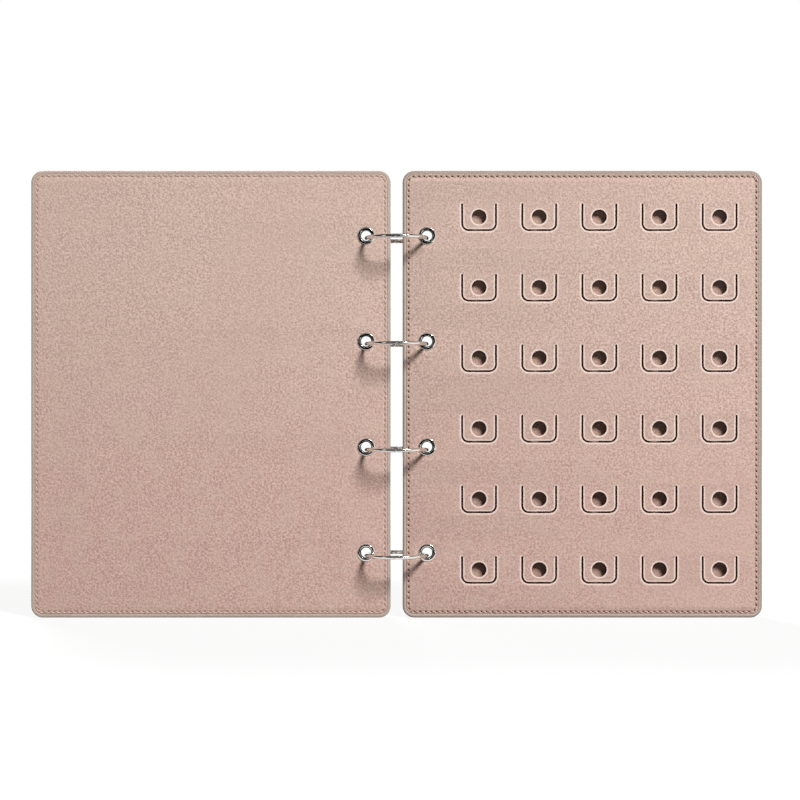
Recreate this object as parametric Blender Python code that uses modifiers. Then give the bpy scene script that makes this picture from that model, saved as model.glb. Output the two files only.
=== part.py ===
"""Felt storage booklet, open flat: a cover leaf and a holder leaf on four hinged book rings.

The booklet stands on its bottom edges. +X runs to the right, +Y away from the felt faces and
+Z up. The origin lies on the floor in the middle of the gap between the leaves, and the ring
centres stand above it, level with the middle of the leaves' thickness.
"""

import math

import bmesh
import bpy

# Both leaves
LEAF_WIDTH = 0.185
LEAF_HEIGHT = 0.230
LEAF_CORNER_RADIUS = 0.006
LEAF_GAP = 0.0062
GLUE_LINE = 0.0002
LINING_THICKNESS = 0.0011
SKIN_THICKNESS = 0.0006
SKIN_WALL = 0.0010
SKIN_EDGE_RADIUS = 0.0005
SKIN_LIP_DROP = 0.00015

# Holder leaf: the spacer and the felt floor fill the place that the board has in the cover
SPACER_THICKNESS = 0.0015
FLOOR_FELT_THICKNESS = 0.0007

# Tongues: a grid counted from the rings and from the top, measured to hole centres
TONGUE_ROWS = 6
TONGUE_COLUMNS = 5
FIRST_COLUMN_FROM_SPINE = 0.0393
LAST_COLUMN_FROM_EDGE = 0.0219
FIRST_ROW_FROM_TOP = 0.0238
LAST_ROW_FROM_BOTTOM = 0.0247
TONGUE_WIDTH = 0.0165
TONGUE_HOLE_DIAMETER = 0.0075
TONGUE_ROOT_ABOVE_HOLE = 0.0065
TONGUE_END_BELOW_HOLE = 0.00635
TONGUE_CORNER_RADIUS = 0.0029
TONGUE_ROOT_GAP = 0.0003
SLIT_WIDTH = 0.0009
POCKET_MARGIN = 0.0009

# Eyelets
EYELET_PITCH = 0.0544
EYELETS_PER_LEAF = 4
EYELET_BORE_DIAMETER = 0.0052
EYELET_BARREL_WALL = 0.0006
EYELET_FLANGE_DIAMETER = 0.0090
EYELET_FLANGE_SEAT = 0.0001
EYELET_FLANGE_RIM = 0.0001
EYELET_STANDS_PROUD = 0.00035
EYELET_MOUTH_RADIUS = 0.0010
EYELET_HOLE_CLEARANCE = 0.0003

# Book rings
RING_MEAN_RADIUS = 0.0157
RING_WIRE_DIAMETER = 0.0020
RING_SEAT_GAP = 0.00035
RING_LAP_GAP = 0.0002
RING_LAP_REACH = 0.0020
RING_TIP_REACH = 0.0016
RING_KNUCKLE_HEIGHT = 0.0017
RING_KNUCKLE_CLEARANCE = 0.0002
RING_PIN_DIAMETER = 0.0008
RING_PIN_CLEARANCE = 0.00015
RING_PIN_DOME = 0.0001

# Every cutter runs past what it cuts by this much
CUT_OVERRUN = 0.002

# Facet counts
CORNER_STEPS = 4
TONGUE_CORNER_STEPS = 3
POCKET_CORNER_STEPS = 1
TONGUE_HOLE_SIDES = 16
EYELET_SIDES = 16
EYELET_MOUTH_STEPS = 2
RING_STEPS = 15
RING_WIRE_RESOLUTION = 3
PIN_SIDES = 10
PIN_HOLE_SIDES = 12
SKIN_EDGE_RESOLUTION = 1

# Points closer than this are one point, and edges sharper than this stay sharp
WELD_DISTANCE = 0.000002
SHARP_ANGLE = math.radians(35)

# Worked out from the sizes above
BOARD_THICKNESS = SPACER_THICKNESS + GLUE_LINE + FLOOR_FELT_THICKNESS
LEAF_THICKNESS = SKIN_THICKNESS + BOARD_THICKNESS + LINING_THICKNESS + 2 * GLUE_LINE
FRONT_Y = -LEAF_THICKNESS / 2
CORE_FRONT_Y = FRONT_Y + LINING_THICKNESS + GLUE_LINE
FLOOR_FRONT_Y = CORE_FRONT_Y + SPACER_THICKNESS + GLUE_LINE
SPINE_X = LEAF_GAP / 2
COLUMN_SPAN = LEAF_WIDTH - FIRST_COLUMN_FROM_SPINE - LAST_COLUMN_FROM_EDGE
TONGUE_COLUMN_PITCH = COLUMN_SPAN / (TONGUE_COLUMNS - 1)
ROW_SPAN = LEAF_HEIGHT - FIRST_ROW_FROM_TOP - LAST_ROW_FROM_BOTTOM
TONGUE_ROW_PITCH = ROW_SPAN / (TONGUE_ROWS - 1)
INSIDE_SKIN = SKIN_WALL + GLUE_LINE
EYELET_BORE_RADIUS = EYELET_BORE_DIAMETER / 2
EYELET_BARREL_RADIUS = EYELET_BORE_RADIUS + EYELET_BARREL_WALL
EYELET_HOLE_RADIUS = EYELET_BARREL_RADIUS + EYELET_HOLE_CLEARANCE
RING_WIRE_RADIUS = RING_WIRE_DIAMETER / 2
RING_SAG = EYELET_BORE_RADIUS - RING_WIRE_RADIUS - RING_SEAT_GAP

# Which side of the gap a leaf lies on
COVER_SIDE = -1
HOLDER_SIDE = 1

# Colour of each material, as a linear red, green and blue, then roughness and metallic
FINISHES = {
    "felt": ((0.565, 0.402, 0.332), 0.95, 0.0),
    "outer_skin": ((0.402, 0.319, 0.250), 0.55, 0.0),
    "board": ((0.30, 0.27, 0.23), 0.90, 0.0),
    "spacer": ((0.22, 0.13, 0.10), 0.95, 0.0),
    "nickel": ((0.66, 0.64, 0.61), 0.16, 1.0),
}


def clear_scene():
    for obj in list(bpy.data.objects):
        bpy.data.objects.remove(obj, do_unlink=True)


def new_collection(name):
    collection = bpy.data.collections.new(name)
    bpy.context.scene.collection.children.link(collection)
    return collection


def make_materials():
    materials = {}
    for name, (colour, roughness, metallic) in FINISHES.items():
        material = bpy.data.materials.new(name)
        material.use_nodes = True
        shader = material.node_tree.nodes["Principled BSDF"]
        shader.inputs["Base Color"].default_value = (*colour, 1.0)
        shader.inputs["Roughness"].default_value = roughness
        shader.inputs["Metallic"].default_value = metallic
        materials[name] = material
    return materials


def shade_round(mesh):
    mesh.shade_smooth()
    mesh.set_sharp_from_angle(angle=SHARP_ANGLE)


def weld(mesh):
    """Joins a curve's loose caps to its sides."""
    work = bmesh.new()
    work.from_mesh(mesh)
    bmesh.ops.remove_doubles(work, verts=work.verts, dist=WELD_DISTANCE)
    work.to_mesh(mesh)
    work.free()


def evaluated_mesh(obj, name):
    bpy.context.view_layer.update()
    graph = bpy.context.evaluated_depsgraph_get()
    mesh = bpy.data.meshes.new_from_object(obj.evaluated_get(graph), depsgraph=graph)
    mesh.name = name
    return mesh


def mesh_from_curve(curve, name):
    """The closed mesh of a curve, in the curve's own frame."""
    guide = bpy.data.objects.new(name, curve)
    bpy.context.scene.collection.objects.link(guide)
    mesh = evaluated_mesh(guide, name)
    bpy.data.objects.remove(guide, do_unlink=True)
    bpy.data.curves.remove(curve)
    weld(mesh)
    return mesh


def rounded_outline(left, right, bottom, top, radii, steps):
    """Corners as arcs, counter-clockwise from the lower left. radii: lower and upper corners."""
    low, high = radii
    corners = [
        (left + low, bottom + low, low, 180),
        (right - low, bottom + low, low, 270),
        (right - high, top - high, high, 0),
        (left + high, top - high, high, 90),
    ]
    points = []
    for x, z, radius, start in corners:
        count = steps if radius else 0
        for step in range(count + 1):
            angle = math.radians(start + 90 * step / max(count, 1))
            points.append((x + radius * math.cos(angle), z + radius * math.sin(angle)))
    return points


def circle(x, z, radius, sides):
    turn = 2 * math.pi / sides
    return [
        (x + radius * math.cos(turn * (n + 0.5)), z + radius * math.sin(turn * (n + 0.5)))
        for n in range(sides)
    ]


def flat_mesh(name, loops, front, thickness, edge_radius=0, edge_resolution=0):
    """A flat sheet cut to its loops, standing in the XZ plane, from y = front backwards.

    Loops inside the first one are holes. An edge radius rounds the sheet's edges outwards, so
    the loops of such a sheet are drawn that much smaller.
    """
    curve = bpy.data.curves.new(name, "CURVE")
    curve.dimensions = "2D"
    curve.fill_mode = "BOTH"
    curve.extrude = thickness / 2 - edge_radius
    curve.bevel_depth = edge_radius
    curve.bevel_resolution = edge_resolution
    for loop in loops:
        spline = curve.splines.new("POLY")
        spline.points.add(len(loop) - 1)
        for point, (x, z) in zip(spline.points, loop):
            point.co = (x, z, 0, 1)
        spline.use_cyclic_u = True
    mesh = mesh_from_curve(curve, name)
    for vertex in mesh.vertices:
        x, z, toward_viewer = vertex.co
        vertex.co = (x, front + thickness / 2 - toward_viewer, z)
    return mesh


def new_object(name, mesh, collection, material=None, parent=None, at=(0, 0, 0)):
    """Places an object by a point in the booklet's frame, also under a parent empty."""
    if material and not mesh.materials:
        mesh.materials.append(material)
    obj = bpy.data.objects.new(name, mesh)
    collection.objects.link(obj)
    base = parent["stands_at"] if parent else (0, 0, 0)
    obj.location = [place - start for place, start in zip(at, base)]
    obj.parent = parent
    return obj


def joint_axis(name, collection, parent, at):
    """An empty on a vertical joint axis."""
    empty = new_object(name, None, collection, parent=parent, at=at)
    empty["stands_at"] = at
    return empty


def new_cutter(name, mesh, cutters, **placing):
    cutter = new_object(name, mesh, cutters, **placing)
    cutter.hide_render = True
    cutter.display_type = "WIRE"
    return cutter


def combine(obj, operation, other, solver="EXACT"):
    """Adds a Boolean. EXACT leaves the skins open at their corners, so they use MANIFOLD."""
    modifier = obj.modifiers.new(other.name, "BOOLEAN")
    modifier.operation = operation
    modifier.solver = solver
    modifier.object = other


def leaf_outline(side, inset, steps=CORNER_STEPS):
    """The leaf's outline on one side of the gap, drawn in by an inset."""
    near, far = SPINE_X + inset, SPINE_X + LEAF_WIDTH - inset
    left, right = (near, far) if side == HOLDER_SIDE else (-far, -near)
    radius = LEAF_CORNER_RADIUS - inset
    return rounded_outline(left, right, inset, LEAF_HEIGHT - inset, (radius, radius), steps)


def eyelet_heights():
    middle = (EYELETS_PER_LEAF - 1) / 2
    return [LEAF_HEIGHT / 2 + (n - middle) * EYELET_PITCH for n in range(EYELETS_PER_LEAF)]


def eyelet_holes(side):
    x = side * RING_MEAN_RADIUS
    return [circle(x, z, EYELET_HOLE_RADIUS, EYELET_SIDES) for z in eyelet_heights()]


def tongue_grid():
    """(row, column, x, z) of each hole, with row 1 at the top and column 1 at the rings."""
    for row in range(TONGUE_ROWS):
        for column in range(TONGUE_COLUMNS):
            x = SPINE_X + FIRST_COLUMN_FROM_SPINE + column * TONGUE_COLUMN_PITCH
            z = LEAF_HEIGHT - FIRST_ROW_FROM_TOP - row * TONGUE_ROW_PITCH
            yield row + 1, column + 1, x, z


def window_outlines(margin, steps):
    """The openings round the tongues, a margin wider than a tongue at its sides and its end."""
    half, corner = TONGUE_WIDTH / 2 + margin, TONGUE_CORNER_RADIUS + margin
    below, above = TONGUE_END_BELOW_HOLE + margin, TONGUE_ROOT_ABOVE_HOLE
    return [
        rounded_outline(x - half, x + half, z - below, z + above, (corner, 0), steps)
        for _, _, x, z in tongue_grid()
    ]


def make_skin(name, side, parts, cutters, material, parent):
    """Outer skin: a back panel whose wall stands up round the leaf, as a turned edge does."""
    front = FRONT_Y + SKIN_LIP_DROP
    depth = LEAF_THICKNESS - SKIN_LIP_DROP
    blank = flat_mesh(
        name,
        [leaf_outline(side, SKIN_EDGE_RADIUS)],
        front,
        depth,
        SKIN_EDGE_RADIUS,
        SKIN_EDGE_RESOLUTION,
    )
    skin = new_object(name, blank, parts, material, parent)
    tray = flat_mesh(
        name + "_tray",
        [leaf_outline(side, SKIN_WALL)],
        front - CUT_OVERRUN,
        depth - SKIN_THICKNESS + CUT_OVERRUN,
    )
    combine(skin, "DIFFERENCE", new_cutter(name + "_tray", tray, cutters), "MANIFOLD")
    drill = flat_mesh(name + "_drill", eyelet_holes(side), 0, depth)
    combine(skin, "DIFFERENCE", new_cutter(name + "_drill", drill, cutters), "MANIFOLD")


def make_layer(name, side, front, thickness, windows, parts, material, parent):
    """A flat sheet inside the skin, with the eyelets' holes and any windows."""
    loops = [leaf_outline(side, INSIDE_SKIN)] + eyelet_holes(side) + windows
    return new_object(name, flat_mesh(name, loops, front, thickness), parts, material, parent)


def make_tongues(parts, material, parent):
    """Each tongue's origin lies on its bending line: the root of the slit, on the felt's face."""
    half = TONGUE_WIDTH / 2
    bottom = -TONGUE_ROOT_ABOVE_HOLE - TONGUE_END_BELOW_HOLE
    outline = rounded_outline(
        -half, half, bottom, -TONGUE_ROOT_GAP, (TONGUE_CORNER_RADIUS, 0), TONGUE_CORNER_STEPS
    )
    hole = circle(0, -TONGUE_ROOT_ABOVE_HOLE, TONGUE_HOLE_DIAMETER / 2, TONGUE_HOLE_SIDES)
    mesh = flat_mesh("tongue", [outline, hole], 0, LINING_THICKNESS)
    for row, column, x, z in tongue_grid():
        place = (x, FRONT_Y, z + TONGUE_ROOT_ABOVE_HOLE)
        new_object(f"tongue_r{row}_c{column}", mesh, parts, material, parent, place)


def eyelet_profile():
    """(radius, height) points round the wall of an eyelet, down its outside and up its bore."""
    seat = LEAF_THICKNESS / 2 + EYELET_FLANGE_SEAT
    crown = LEAF_THICKNESS / 2 + EYELET_STANDS_PROUD
    rim, barrel, bore = EYELET_FLANGE_DIAMETER / 2, EYELET_BARREL_RADIUS, EYELET_BORE_RADIUS
    mouth = crown - EYELET_MOUTH_RADIUS
    roll = [
        (
            bore + EYELET_MOUTH_RADIUS * (1 - math.cos(angle)),
            mouth + EYELET_MOUTH_RADIUS * math.sin(angle),
        )
        for angle in (
            math.radians(90 * step / EYELET_MOUTH_STEPS) for step in range(EYELET_MOUTH_STEPS + 1)
        )
    ]
    outside = [(rim, seat + EYELET_FLANGE_RIM), (rim, seat), (barrel, seat)]
    upper = roll + outside
    lower = [(radius, -height) for radius, height in reversed(upper)]
    return upper + lower


def make_eyelet_mesh():
    """The profile turned about the local Z axis."""
    profile = eyelet_profile()
    mesh = bpy.data.meshes.new("eyelet")
    ring = [(n, (n + 1) % len(profile)) for n in range(len(profile))]
    mesh.from_pydata([(radius, 0, height) for radius, height in profile], ring, [])
    return mesh


def make_eyelets(name, side, mesh, parts, material, parent):
    for number, z in enumerate(eyelet_heights(), start=1):
        place = (side * RING_MEAN_RADIUS, 0, z)
        eyelet = new_object(f"{name}_{number}", mesh, parts, material, parent, place)
        eyelet.rotation_euler.x = math.radians(90)
        turn = eyelet.modifiers.new("turn", "SCREW")
        turn.axis = "Z"
        turn.angle = math.radians(360)
        turn.steps = EYELET_SIDES
        turn.render_steps = EYELET_SIDES
        turn.use_merge_vertices = True
        turn.merge_threshold = WELD_DISTANCE
        turn.use_smooth_shade = True


def cylinder_mesh(name, radius, low, high, sides):
    """An upright cylinder from z = low to z = high."""
    work = bmesh.new()
    bmesh.ops.create_cone(
        work, cap_ends=True, segments=sides, radius1=radius, radius2=radius, depth=high - low
    )
    bmesh.ops.translate(work, verts=work.verts, vec=(0, 0, (low + high) / 2))
    mesh = bpy.data.meshes.new(name)
    work.to_mesh(mesh)
    work.free()
    return mesh


def box_mesh(name, half_x, half_y, height):
    """A box that hangs from z = 0 down."""
    work = bmesh.new()
    bmesh.ops.create_cube(work, size=1)
    bmesh.ops.scale(work, verts=work.verts, vec=(2 * half_x, 2 * half_y, height))
    bmesh.ops.translate(work, verts=work.verts, vec=(0, 0, -height / 2))
    mesh = bpy.data.meshes.new(name)
    work.to_mesh(mesh)
    work.free()
    return mesh


def half_wire_mesh():
    """The left half of a ring's wire, from its pin at the back round to past the front."""
    start, end = math.pi / 2, 3 * math.pi / 2 + math.asin(RING_TIP_REACH / RING_MEAN_RADIUS)
    curve = bpy.data.curves.new("half_wire", "CURVE")
    curve.dimensions = "3D"
    curve.bevel_depth = RING_WIRE_RADIUS
    curve.bevel_resolution = RING_WIRE_RESOLUTION
    curve.use_fill_caps = True
    spline = curve.splines.new("POLY")
    spline.points.add(RING_STEPS)
    for n, point in enumerate(spline.points):
        angle = start + (end - start) * n / RING_STEPS
        x, y = RING_MEAN_RADIUS * math.cos(angle), RING_MEAN_RADIUS * math.sin(angle)
        point.co = (x, y, 0, 1)
    return mesh_from_curve(curve, "half_wire")


def make_half_hoop_mesh(cutters):
    """The left half hoop, with its ring centre at the origin.

    Its front end is cut on a slant and its back end to half its height, so that the same piece
    turned over is the right half: the two slants face each other and the knuckles stack.
    """
    hoop = new_object("half_hoop", half_wire_mesh(), cutters)
    pin_at = (0, RING_MEAN_RADIUS, 0)
    knuckle = cylinder_mesh(
        "knuckle",
        RING_WIRE_RADIUS,
        -RING_KNUCKLE_HEIGHT / 2,
        RING_KNUCKLE_HEIGHT / 2,
        PIN_HOLE_SIDES,
    )
    combine(hoop, "UNION", new_cutter("knuckle", knuckle, cutters, at=pin_at))
    lower_half = cylinder_mesh(
        "knuckle_lap",
        RING_WIRE_RADIUS + RING_KNUCKLE_CLEARANCE,
        -RING_WIRE_RADIUS - CUT_OVERRUN,
        RING_LAP_GAP / 2,
        PIN_HOLE_SIDES,
    )
    combine(hoop, "DIFFERENCE", new_cutter("knuckle_lap", lower_half, cutters, at=pin_at))
    pin_hole = cylinder_mesh(
        "pin_hole",
        RING_PIN_DIAMETER / 2 + RING_PIN_CLEARANCE,
        -RING_WIRE_RADIUS - CUT_OVERRUN,
        RING_WIRE_RADIUS + CUT_OVERRUN,
        PIN_HOLE_SIDES,
    )
    combine(hoop, "DIFFERENCE", new_cutter("pin_hole", pin_hole, cutters, at=pin_at))
    reach = RING_LAP_REACH + CUT_OVERRUN
    below_slant = box_mesh("lap_slant", reach, RING_WIRE_DIAMETER, RING_WIRE_DIAMETER + CUT_OVERRUN)
    slant = new_cutter(
        "lap_slant", below_slant, cutters, at=(0, -RING_MEAN_RADIUS, RING_LAP_GAP / 2)
    )
    slant.rotation_euler.y = -math.atan2(RING_WIRE_RADIUS, RING_LAP_REACH)
    combine(hoop, "DIFFERENCE", slant)
    mesh = evaluated_mesh(hoop, "half_hoop")
    bpy.data.objects.remove(hoop, do_unlink=True)
    shade_round(mesh)
    return mesh


def make_pin_mesh():
    """A rivet pin with low domed ends, flush with the wire."""
    radius, flat = RING_PIN_DIAMETER / 2, RING_WIRE_RADIUS - RING_PIN_DOME
    mesh = cylinder_mesh("ring_pin", radius, -flat, flat, PIN_SIDES)
    work = bmesh.new()
    work.from_mesh(mesh)
    caps = [face for face in work.faces if len(face.verts) == PIN_SIDES]
    for face in caps:
        up = math.copysign(RING_PIN_DOME, face.calc_center_median().z)
        tip = bmesh.ops.poke(work, faces=[face])["verts"][0]
        tip.co.z += up
    work.to_mesh(mesh)
    work.free()
    shade_round(mesh)
    return mesh


def make_rings(parts, cutters, material, open_axis):
    """Four rings that hang in the eyelets. The pins stay in the right halves, which open."""
    hoop, pin = make_half_hoop_mesh(cutters), make_pin_mesh()
    for number, z in enumerate(eyelet_heights(), start=1):
        centre = (0, 0, z - RING_SAG)
        left, right = f"ring_left_half_{number}", f"ring_right_half_{number}"
        new_object(left, hoop, parts, material, at=centre)
        turned_over = new_object(right, hoop, parts, material, open_axis, centre)
        turned_over.rotation_euler.y = math.pi
        pin_at = (0, RING_MEAN_RADIUS, centre[2])
        new_object(f"ring_pin_{number}", pin, parts, material, open_axis, pin_at)


def build():
    clear_scene()
    parts = new_collection("felt_storage_booklet")
    cutters = new_collection("cutters")
    cutters.hide_render = True
    finish = make_materials()

    # The left ring halves stand still: the cover turns on them, and the right halves open from
    # them and carry the holder leaf, which tilts on the rings.
    turn_axis = joint_axis("cover_turn_axis", parts, None, (0, 0, 0))
    open_axis = joint_axis("rings_open_axis", parts, None, (0, RING_MEAN_RADIUS, 0))
    tilt_axis = joint_axis("rings_tilt_axis", parts, open_axis, (RING_MEAN_RADIUS, 0, 0))

    windows = window_outlines(SLIT_WIDTH, TONGUE_CORNER_STEPS)
    pockets = window_outlines(SLIT_WIDTH + POCKET_MARGIN, POCKET_CORNER_STEPS)
    felt = finish["felt"]

    def holder_layer(name, front, thickness, openings, material):
        make_layer(name, HOLDER_SIDE, front, thickness, openings, parts, material, tilt_axis)

    def cover_layer(name, front, thickness, material):
        make_layer(name, COVER_SIDE, front, thickness, [], parts, material, turn_axis)

    make_skin("holder_outer_skin", HOLDER_SIDE, parts, cutters, finish["outer_skin"], tilt_axis)
    holder_layer("holder_floor_felt", FLOOR_FRONT_Y, FLOOR_FELT_THICKNESS, [], felt)
    holder_layer("holder_spacer", CORE_FRONT_Y, SPACER_THICKNESS, pockets, finish["spacer"])
    holder_layer("holder_lining", FRONT_Y, LINING_THICKNESS, windows, felt)
    make_tongues(parts, felt, tilt_axis)

    make_skin("cover_outer_skin", COVER_SIDE, parts, cutters, finish["outer_skin"], turn_axis)
    cover_layer("cover_board", CORE_FRONT_Y, BOARD_THICKNESS, finish["board"])
    cover_layer("cover_lining", FRONT_Y, LINING_THICKNESS, felt)

    eyelet = make_eyelet_mesh()
    make_eyelets("holder_eyelet", HOLDER_SIDE, eyelet, parts, finish["nickel"], tilt_axis)
    make_eyelets("cover_eyelet", COVER_SIDE, eyelet, parts, finish["nickel"], turn_axis)
    make_rings(parts, cutters, finish["nickel"], open_axis)


build()
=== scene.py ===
"""Felt storage booklet, dressed for rendering: two felt-lined leaves on four hinged book rings.

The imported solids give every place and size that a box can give. The classes below hold the
finer sizes of each sub-assembly, work its surfaces out as arrays, and give them their finishes.
X runs to the right, Y away from the felt faces and Z up. Lengths are metres.
"""

import logging
import math
from dataclasses import dataclass, field
from enum import Enum

import bpy
import numpy as np
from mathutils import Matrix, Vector
from mathutils.geometry import tessellate_polygon


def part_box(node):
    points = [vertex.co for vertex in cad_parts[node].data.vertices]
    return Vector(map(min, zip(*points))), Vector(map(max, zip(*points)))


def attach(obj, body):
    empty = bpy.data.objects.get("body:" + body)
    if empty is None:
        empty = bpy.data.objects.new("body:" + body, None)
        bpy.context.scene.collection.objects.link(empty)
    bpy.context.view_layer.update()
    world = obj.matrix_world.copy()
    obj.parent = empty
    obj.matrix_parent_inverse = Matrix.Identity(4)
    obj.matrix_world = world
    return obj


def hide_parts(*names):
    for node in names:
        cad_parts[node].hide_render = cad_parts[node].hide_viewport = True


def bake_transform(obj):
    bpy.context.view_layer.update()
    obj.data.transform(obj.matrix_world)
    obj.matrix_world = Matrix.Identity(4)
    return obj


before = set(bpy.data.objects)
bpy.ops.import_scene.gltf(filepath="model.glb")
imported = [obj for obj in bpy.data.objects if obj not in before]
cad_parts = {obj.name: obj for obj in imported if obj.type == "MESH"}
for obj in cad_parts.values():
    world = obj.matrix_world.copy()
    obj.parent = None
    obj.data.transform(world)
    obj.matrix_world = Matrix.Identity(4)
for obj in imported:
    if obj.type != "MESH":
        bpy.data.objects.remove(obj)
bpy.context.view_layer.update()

MM = 0.001
LOG = logging.getLogger("booklet")

# How many rings, and so eyelets in each leaf, and how many rows and columns of tongues.
RINGS, ROWS, COLUMNS = 4, 6, 5

# The colour sockets of a Mix node, by number, because its sockets of every type share names.
MIX_FIRST, MIX_SECOND, MIX_RESULT = 6, 7, 2

Array = np.ndarray
Colour = tuple[float, float, float]
Place = tuple[float, float, float]
Ramp = tuple[float, float]
Material = bpy.types.Material
Piece = bpy.types.Object
Socket = bpy.types.NodeSocket


class Facing(Enum):
    """The way a leaf's field looks. The value is the sign of its y."""

    FRONT = -1
    BACK = 1


@dataclass(frozen=True)
class Box:
    """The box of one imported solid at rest."""

    low: Vector
    high: Vector

    @classmethod
    def of(cls, node: str) -> "Box":
        """The box of a solid, by its name."""
        low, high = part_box(node)
        return cls(Vector(low), Vector(high))

    @property
    def centre(self) -> Vector:
        """The middle of the box."""
        return (self.low + self.high) / 2

    @property
    def size(self) -> Vector:
        """The box's three sides."""
        return self.high - self.low


def add_object(name: str, data: bpy.types.ID) -> Piece:
    """Adds an object with that mesh, lamp or camera to the scene.

    Args:
        name: The object's name.
        data: What it shows or sheds.

    Returns:
        The new object.
    """
    obj = bpy.data.objects.new(name, data)
    bpy.context.scene.collection.objects.link(obj)
    return obj


def settle(piece: Piece, body: str, slot: str, *nodes: str) -> Piece:
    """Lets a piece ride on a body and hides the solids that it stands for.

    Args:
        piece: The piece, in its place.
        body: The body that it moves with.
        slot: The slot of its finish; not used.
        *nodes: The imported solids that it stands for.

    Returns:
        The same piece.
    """
    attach(piece, body)
    if nodes:
        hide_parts(*nodes)
    LOG.info("%s: %d faces", piece.name, len(piece.data.polygons))
    return piece


@dataclass
class Draft:
    """The points and faces of one closed piece, gathered patch by patch."""

    points: list[Array] = field(default_factory=list)
    faces: list[Array] = field(default_factory=list)
    flat: list[bool] = field(default_factory=list)
    marks: list[Array] = field(default_factory=list)
    count: int = 0

    def lattice(
        self, grid: Array, flip: bool = False, wrap_rows: bool = False, marks: Array | None = None
    ) -> Array:
        """Adds a grid of points that closes on itself along its columns.

        Four neighbours (i, j), (i+1, j), (i+1, j+1), (i, j+1) make a face, so that a grid whose
        rows run outwards and whose columns run counter-clockwise, seen from the front, faces
        the front.

        Args:
            grid: Points, shaped (rows, columns, 3).
            flip: Turns the faces over.
            wrap_rows: Joins the last row to the first.
            marks: A number for each point, shaped (rows, columns), for the materials.

        Returns:
            The points' indices, shaped (rows, columns).
        """
        rows, columns = grid.shape[:2]
        index = np.arange(rows * columns).reshape(rows, columns) + self.count
        self.points.append(grid.reshape(-1, 3))
        self.marks.append(np.zeros(rows * columns) if marks is None else marks.reshape(-1))
        self.count += rows * columns
        upper = index if wrap_rows else index[:-1]
        lower = np.roll(index, -1, axis=0) if wrap_rows else index[1:]
        corners = [upper, lower, np.roll(lower, -1, axis=1), np.roll(upper, -1, axis=1)]
        quads = np.stack(corners, axis=-1).reshape(-1, 4)
        self.faces.append(quads[:, ::-1] if flip else quads)
        self.flat.append(False)
        return index

    def fill(self, loops: list[Array], facing: Facing) -> None:
        """Fills the field between an outer loop and the loops inside it with flat triangles.

        Args:
            loops: Indices of points that lie in one plane square to Y, outer loop first.
            facing: The way the field looks.
        """
        points = np.concatenate(self.points)
        order = np.concatenate(loops)
        outlines = [[Vector((*points[i, [0, 2]], 0)) for i in loop] for loop in loops]
        corners = np.array(tessellate_polygon(outlines))
        a, b, c = (points[order[corners[:, k]]][:, [0, 2]] for k in range(3))
        turn = (b - a)[:, 0] * (c - a)[:, 1] - (b - a)[:, 1] * (c - a)[:, 0]
        wrong = (turn > 0) != (facing is Facing.FRONT)
        corners[wrong] = corners[wrong][:, ::-1]
        self.faces.append(order[corners])
        self.flat.append(True)

    def tube(self, grid: Array, flip: bool = False, marks: Array | None = None) -> None:
        """Adds a grid of rings as a tube, with one face to close each end.

        Args:
            grid: Points, shaped (rings, sides, 3).
            flip: Turns the faces over.
            marks: A number for each point, shaped (rings, sides).
        """
        index = self.lattice(grid, flip, marks=marks)
        for ring in (index[0], index[-1][::-1]):
            self.faces.append((ring[::-1] if flip else ring)[None])
            self.flat.append(False)

    def build(
        self,
        name: str,
        material: Material,
        mark_name: str = "",
        sharp_angle: float = math.radians(50),
    ) -> Piece:
        """Makes the piece, at the origin and unturned.

        Args:
            name: The piece's name.
            material: Its finish.
            mark_name: The attribute that holds the marks, if it has them.
            sharp_angle: Edges that turn further than this stay sharp.

        Returns:
            The new object.
        """
        points = np.concatenate(self.points)
        mesh = bpy.data.meshes.new(name)
        corners = np.concatenate([block.reshape(-1) for block in self.faces])
        sizes = np.concatenate([np.full(len(b), b.shape[1]) for b in self.faces])
        smooth = np.concatenate([np.full(len(b), not f) for b, f in zip(self.faces, self.flat)])
        mesh.vertices.add(len(points))
        mesh.vertices.foreach_set("co", points.astype(np.float32).reshape(-1))
        mesh.loops.add(len(corners))
        mesh.loops.foreach_set("vertex_index", corners.astype(np.int32))
        mesh.polygons.add(len(sizes))
        starts = np.concatenate([[0], np.cumsum(sizes)[:-1]])
        mesh.polygons.foreach_set("loop_start", starts.astype(np.int32))
        mesh.polygons.foreach_set("use_smooth", smooth)
        mesh.update(calc_edges=True)
        mesh.set_sharp_from_angle(angle=sharp_angle)
        if mark_name:
            marks = mesh.attributes.new(mark_name, "FLOAT", "POINT")
            marks.data.foreach_set("value", np.concatenate(self.marks).astype(np.float32))
        mesh.materials.append(material)
        return add_object(name, mesh)


def quarter_turn(steps: int) -> Array:
    """Angles from 0 to a quarter turn, both ends included."""
    return np.linspace(0, math.pi / 2, steps + 1)


def full_turn(count: int) -> Array:
    """Angles round a whole turn, without the last, which is the first again."""
    return np.linspace(0, 2 * math.pi, count, endpoint=False)


def side_by_side(*parts: Array) -> Array:
    """Joins numbers of like shape along a new last axis, such as x, y and z into points."""
    return np.stack(np.broadcast_arrays(*parts), axis=-1)


def rounded_edge(radius: float, steps: int) -> tuple[Array, Array]:
    """Round an edge, t to a quarter turn: in radius * (1 - sin t), down radius * (1 - cos t)."""
    turn = quarter_turn(steps)
    return radius * (1 - np.sin(turn)), radius * (1 - np.cos(turn))


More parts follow.
